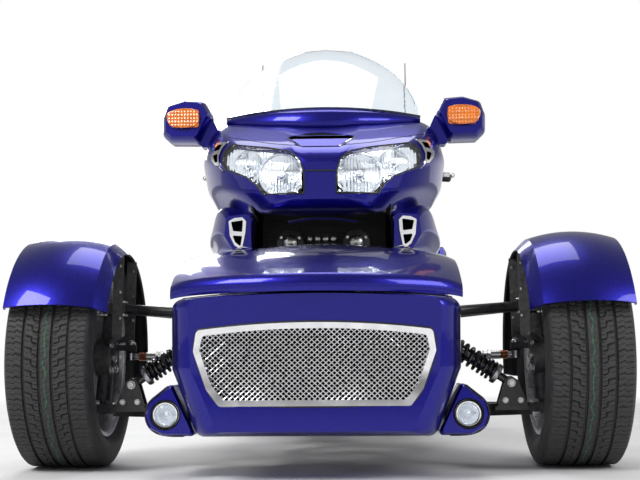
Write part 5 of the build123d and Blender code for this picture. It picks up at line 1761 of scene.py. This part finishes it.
def bar_fittings():
    """Lever ends, clamp bolts, reservoirs and switches."""
    form = Form()
    form.lathe((0.4395, -0.0625, 0.9345), (1, 0.066, -0.08), LEVER_BALL, 24)
    form.bolts((0.274, 0.290), [-0.042], (0.960, 0.940), FORWARDS, 0.0035)
    form.box((0.2815, -0.016, 0.980), (0.042, 0.046, 0.019), mark=1)
    form.box((0.2815, -0.016, 0.991), (0.046, 0.050, 0.0045), mark=2)
    form.bolts((0.2635, 0.2995), (-0.036, 0.004), [0.9932], UP, 0.0024)
    for x, z, size in ((0.276, 0.960, 0.009), (0.290, 0.954, 0.007), (0.280, 0.941, 0.008)):
        form.box((x, 0.0155, z), (size, 0.004, size * 0.8), mark=3)
    form.mirrored()
    form.make("bar_fittings", "bright_trim", "zinc black_plastic brushed rubber", "handlebar")


def hand(form, middle, angle, start, end, thick, mark):
    """Flat bar on a dial; start and end give a distance from the middle and a half width."""
    out = Vector((math.sin(angle), 0, math.cos(angle)))
    wide = Vector((math.cos(angle), 0, -math.sin(angle)))
    (low, low_half), (high, high_half) = start, end
    corners = [
        middle + out * low - wide * low_half,
        middle + out * high - wide * high_half,
        middle + out * high + wide * high_half,
        middle + out * low + wide * low_half,
    ]
    form.prism(corners, (0, thick, 0), mark)


def dials():
    """Four round dials with ticks and needles on the panel."""
    form = Form()
    for x, needle in DIALS:
        place = Vector((x, -0.460, 0.968))
        form.lathe(place, BACKWARDS, BEZEL, 48)
        form.lathe(place, BACKWARDS, [(0.0372, 0.0012), (0.0, 0.0012)], 48, mark=1)
        for k in range(25):
            a = math.radians(-130 + 260 * k / 24)
            long, half = (0.0055, 0.0006) if k % 4 == 0 else (0.003, 0.0003)
            face = place + Vector((0, 0.0016, 0))
            hand(form, face, a, (TICK_END - long, half), (TICK_END, half), 0.0003, mark=2)
        face = place + Vector((0, 0.0022, 0))
        hand(form, face, math.radians(needle), (-0.006, 0.0012), (0.029, 0.0004), 0.0006, mark=3)
        form.lathe(place, BACKWARDS, [(0.0045, 0.001), (0.0045, 0.0035), (0.003, 0.0042), (0, 0.0042)], 20)
    form.make("dials", "black_plastic", "black_plastic seam white_dial red")


class TRIKE_OT_controls(Operator):
    """Models the ribbed grips, lever ends, reservoirs, switches and dials"""

    bl_idname = "trike.controls"
    bl_label = "Controls"

    def execute(self, context):
        grips()
        bar_fittings()
        dials()
        return {"FINISHED"}


# Luggage and rear
MIRROR_GLASS = (
    (0.384, 0.960), (0.478, 0.962), (0.502, 0.984), (0.503, 1.036),
    (0.488, 1.080), (0.432, 1.097), (0.370, 1.092), (0.344, 1.044),
)
TRUNK_LOCK = ((0.0055, 0), (0.0055, 0.0025), (0.0035, 0.003), (0, 0.0022))
BAG_LOCK = ((0.005, 0), (0.005, 0.0022), (0.003, 0.0026), (0, 0.002))
FILLER_CAP = ((0.036, -0.004), (0.036, 0.004), (0.031, 0.0075), (0.02, 0.0085), (0.0, 0.0085))
CAP_RING = ((0.026, 0.0076), (0.026, 0.0092), (0.022, 0.0096), (0.022, 0.0082))


def mirror_glass():
    """Glass in a black rim on the back of each mirror."""
    form = Form()
    outline = round_corners(scaled(MIRROR_GLASS, (0.426, 1.029), 0.90, 0.90), 3)
    form.prism(at_y(outline, -0.5001), (0, 0.0016, 0))
    form.ring(at_y(outline, -0.4990), 0.0028, mark=1)
    form.mirrored()
    form.make("mirror_glass", "chrome", "chrome seam")


def trunk_latch():
    """Latch, lock and bright strip on the trunk's lid."""
    form = Form()
    form.box((0, 1.3235, 1.020), (0.082, 0.010, 0.026))
    form.box((0, 1.3300, 1.016), (0.060, 0.006, 0.012))
    form.lathe((0, 1.3275, 1.030), BACKWARDS, TRUNK_LOCK, 20, mark=1)
    path = []
    for x in arc_points(-0.235, 0.235, 31):
        path.append((x, 1.3225 - 1.3 * max(abs(x) - 0.19, 0) ** 1.2, 1.0105))
    form.tube(path, 0.0022, 8)
    form.make("trunk_latch", "bright_trim", "chrome zinc", "trunk_lid")


def bag_trim(sign, side):
    """Bright strip, latch and lock on one bag's lid."""
    form = Form()
    path = []
    for y in arc_points(0.70, 1.16, 20):
        path.append((sign * 0.4765, y, 0.60 + 0.012 * math.sin((y - 0.7) * 3)))
    form.tube(path, 0.0034, 8, flat=0.6)
    form.box((sign * 0.470, 0.935, 0.716), (0.010, 0.070, 0.022))
    form.lathe((sign * 0.474, 0.935, 0.716), (sign, 0, 0), BAG_LOCK, 18, mark=1)
    form.make(f"bag_trim_{side}", "bright_trim", "chrome zinc", f"saddlebag_lid_{side}")


def small_parts():
    """Plate, filler cap, tread strips and bolts."""
    plate = Form()
    plate.box((0, 1.2872, 0.515), (0.186, 0.0020, 0.108))
    plate.bolts((-0.073, 0.073), [1.2882], (0.480, 0.550), BACKWARDS, 0.0048, mark=1)
    plate.make("blank_plate", "bright_trim", "plate zinc")
    form = Form()
    form.lathe((0, 0.03, 0.9015), (0, -0.16, 1), FILLER_CAP, 48)
    form.lathe((0, 0.03, 0.9015), (0, -0.16, 1), CAP_RING, 40, mark=1)
    form.make("filler_cap", "chrome", "chrome zinc")
    tread = Form()
    for y in arc_points(0.162, 0.298, 9):
        tread.box((0.268, y, 0.3090), (0.094, 0.006, 0.0035))
    for y in arc_points(0.452, 0.548, 7):
        tread.box((0.280, y, 0.4130), (0.080, 0.006, 0.003))
    tread.mirrored()
    tread.make("board_treads", "black_rubber", "rubber")
    pivot = Form()
    pivot.bolt((-0.168, 0.790, 0.311), INWARDS, 0.017)
    washer = [(0.03, 0), (0.03, 0.003), (0.026, 0.004), (0.02, 0.004)]
    pivot.lathe((-0.166, 0.790, 0.311), INWARDS, washer, 40)
    for y, z in ((0.33, 0.40), (0.33, 0.33), (0.62, 0.385), (0.62, 0.285)):
        pivot.bolt((-0.168, y, z), INWARDS, 0.008)
    pivot.make("swingarm_bolts", "bright_trim", "zinc")


class TRIKE_OT_rear(Operator):
    """Adds mirror glass, latches, trim strips, the blank plate, tread strips and small bolts"""

    bl_idname = "trike.rear"
    bl_label = "Mirrors, luggage and rear"

    def execute(self, context):
        mirror_glass()
        trunk_latch()
        for sign, side in SIDES:
            bag_trim(sign, side)
        small_parts()
        return {"FINISHED"}


# Stage
CAMERA_PLACE = Vector((0.106, -3.9139, 0.2742))
CAMERA_FORWARD = Vector((-0.035206, 0.993063, 0.112192))
CAMERA_UP = Vector((0.010340, -0.111894, 0.993666))
CAMERA_LENS = 61.69
LAMPS = (
    # name, place, aim, size, power
    ("Key Lamp", (-2.6, -3.6, 3.4), (0, -0.6, 0.5), 1.8, 150),
    ("Fill Lamp", (3.2, -3.2, 2.4), (0, -0.4, 0.5), 2.0, 80),
    ("Top Lamp", (0, 0.4, 4.4), (0, 0, 0.4), 2.4, 70),
    ("Back Lamp", (-1.5, 4.2, 3.0), (0, 0.5, 0.6), 2.2, 90),
)


def math_node(tree, operation, first, second):
    """Output of a Math node over two values or outputs."""
    return node_at(tree, "Math", {0: first, 1: second}, operation=operation).outputs[0]


def ramp(tree, value, low, high, start=0.0, end=1.0):
    """Output of a smooth ramp from start to end while a value goes from low to high."""
    limits = {"From Min": low, "From Max": high, "To Min": start, "To Max": end}
    return node_at(tree, "MapRange", {"Value": value, **limits}, interpolation_type="SMOOTHSTEP").outputs[0]


def add_floor():
    """Pale matt floor that turns into the white background away from the vehicle."""
    floor = new_object("studio_floor", bpy.data.meshes.new("studio_floor"))
    bm = bmesh.new()
    bmesh.ops.create_grid(bm, x_segments=8, y_segments=8, size=30)
    bm.to_mesh(floor.data)
    bm.free()
    mat, tree, bsdf = shader("Pale Floor", Roughness=0.7)
    tone = place_group(tree, "Speckle", Tone_A=rgba(0.78), Tone_B=rgba(0.82), Scale=3)
    feed(tree, bsdf, {"Base Color": tone["Color"]})
    place = node_at(tree, "TexCoord").outputs["Object"]
    reach = node_at(tree, "VectorMath", {0: place}, operation="LENGTH").outputs["Value"]
    camera_ray = node_at(tree, "LightPath").outputs["Is Camera Ray"]
    seen = math_node(tree, "MULTIPLY", camera_ray, ramp(tree, reach, 2.2, 6.0))
    white = node_at(tree, "Emission").outputs["Emission"]
    blend = node_at(tree, "MixShader", {"Fac": seen, 1: bsdf.outputs["BSDF"], 2: white})
    feed(tree, tree.nodes["Material Output"], {"Surface": blend.outputs["Shader"]})
    floor.data.materials.append(mat)


def add_world(scene):
    """White background; in the paint it is bright near the horizon and dim above."""
    world = bpy.data.worlds.new("Studio World")
    scene.world = world
    world.use_nodes = True
    tree = world.node_tree
    rays = node_at(tree, "LightPath").outputs
    seen = math_node(tree, "MAXIMUM", rays["Is Camera Ray"], rays["Is Transmission Ray"])
    sky = node_at(tree, "TexCoord").outputs["Generated"]
    height = node_at(tree, "SeparateXYZ", {"Vector": sky}).outputs["Z"]
    mirrored = math_node(tree, "MULTIPLY", ramp(tree, height, 0.0, 0.42, 1.0, 0.12), rays["Is Glossy Ray"])
    level = math_node(tree, "MAXIMUM", math_node(tree, "MAXIMUM", seen, mirrored), 0.28)
    feed(tree, tree.nodes["Background"], {"Color": (1, 1, 1, 1), "Strength": level})


def add_lamp(name, place, aim, size, power):
    """Square lamp that looks at its aim."""
    data = bpy.data.lights.new(name, "AREA")
    data.energy = power
    data.size = size
    lamp = new_object(name, data)
    lamp.location = place
    lamp.rotation_euler = (Vector(aim) - Vector(place)).to_track_quat("-Z", "Y").to_euler()


def add_camera(scene):
    """Camera that stands and looks as the photograph's did."""
    data = bpy.data.cameras.new("Photo Camera")
    data.sensor_width = 36.0
    data.lens = CAMERA_LENS
    camera = new_object("Photo Camera", data)
    right = CAMERA_FORWARD.cross(CAMERA_UP).normalized()
    up = right.cross(CAMERA_FORWARD).normalized()
    turn = Matrix((right, up, -CAMERA_FORWARD.normalized())).transposed()
    camera.matrix_world = Matrix.Translation(CAMERA_PLACE) @ turn.to_4x4()
    scene.camera = camera


class TRIKE_OT_stage(Operator):
    """Adds the pale floor, the studio lamps and the camera"""

    bl_idname = "trike.stage"
    bl_label = "Stage"

    def execute(self, context):
        scene = context.scene
        scene.view_settings.view_transform = "Standard"
        add_floor()
        add_world(scene)
        for row in LAMPS:
            add_lamp(*row)
        add_camera(scene)
        return {"FINISHED"}


class TRIKE_PT_sidebar(Panel):
    """Lists the trike's settings and steps"""

    bl_label = "Touring Trike"
    bl_idname = "TRIKE_PT_sidebar"
    bl_space_type = "VIEW_3D"
    bl_region_type = "UI"
    bl_category = "Trike"

    def draw(self, context):
        for group in (context.scene.trike_paint, context.scene.trike_sizes):
            for key in group.__annotations__:
                self.layout.prop(group, key)
        for step in STEPS:
            self.layout.operator(step.bl_idname)


STEPS = (
    TRIKE_OT_finishes,
    TRIKE_OT_upholstery,
    TRIKE_OT_tyres,
    TRIKE_OT_wheels,
    TRIKE_OT_grille,
    TRIKE_OT_nose,
    TRIKE_OT_lamps,
    TRIKE_OT_fairing,
    TRIKE_OT_suspension,
    TRIKE_OT_engine,
    TRIKE_OT_controls,
    TRIKE_OT_rear,
    TRIKE_OT_stage,
)
CLASSES = (TrikePaint, TrikeSizes, *STEPS, TRIKE_PT_sidebar)


def register():
    """Adds the classes and the scene's settings."""
    for cls in CLASSES:
        bpy.utils.register_class(cls)
    bpy.types.Scene.trike_paint = PointerProperty(type=TrikePaint)
    bpy.types.Scene.trike_sizes = PointerProperty(type=TrikeSizes)


def unregister():
    """Takes the classes and the scene's settings out again."""
    del bpy.types.Scene.trike_paint
    del bpy.types.Scene.trike_sizes
    for cls in reversed(CLASSES):
        bpy.utils.unregister_class(cls)


def main():
    register()
    for step in STEPS:
        group, name = step.bl_idname.split(".")
        getattr(getattr(bpy.ops, group), name)()
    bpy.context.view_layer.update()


if __name__ == "__main__":
    main()
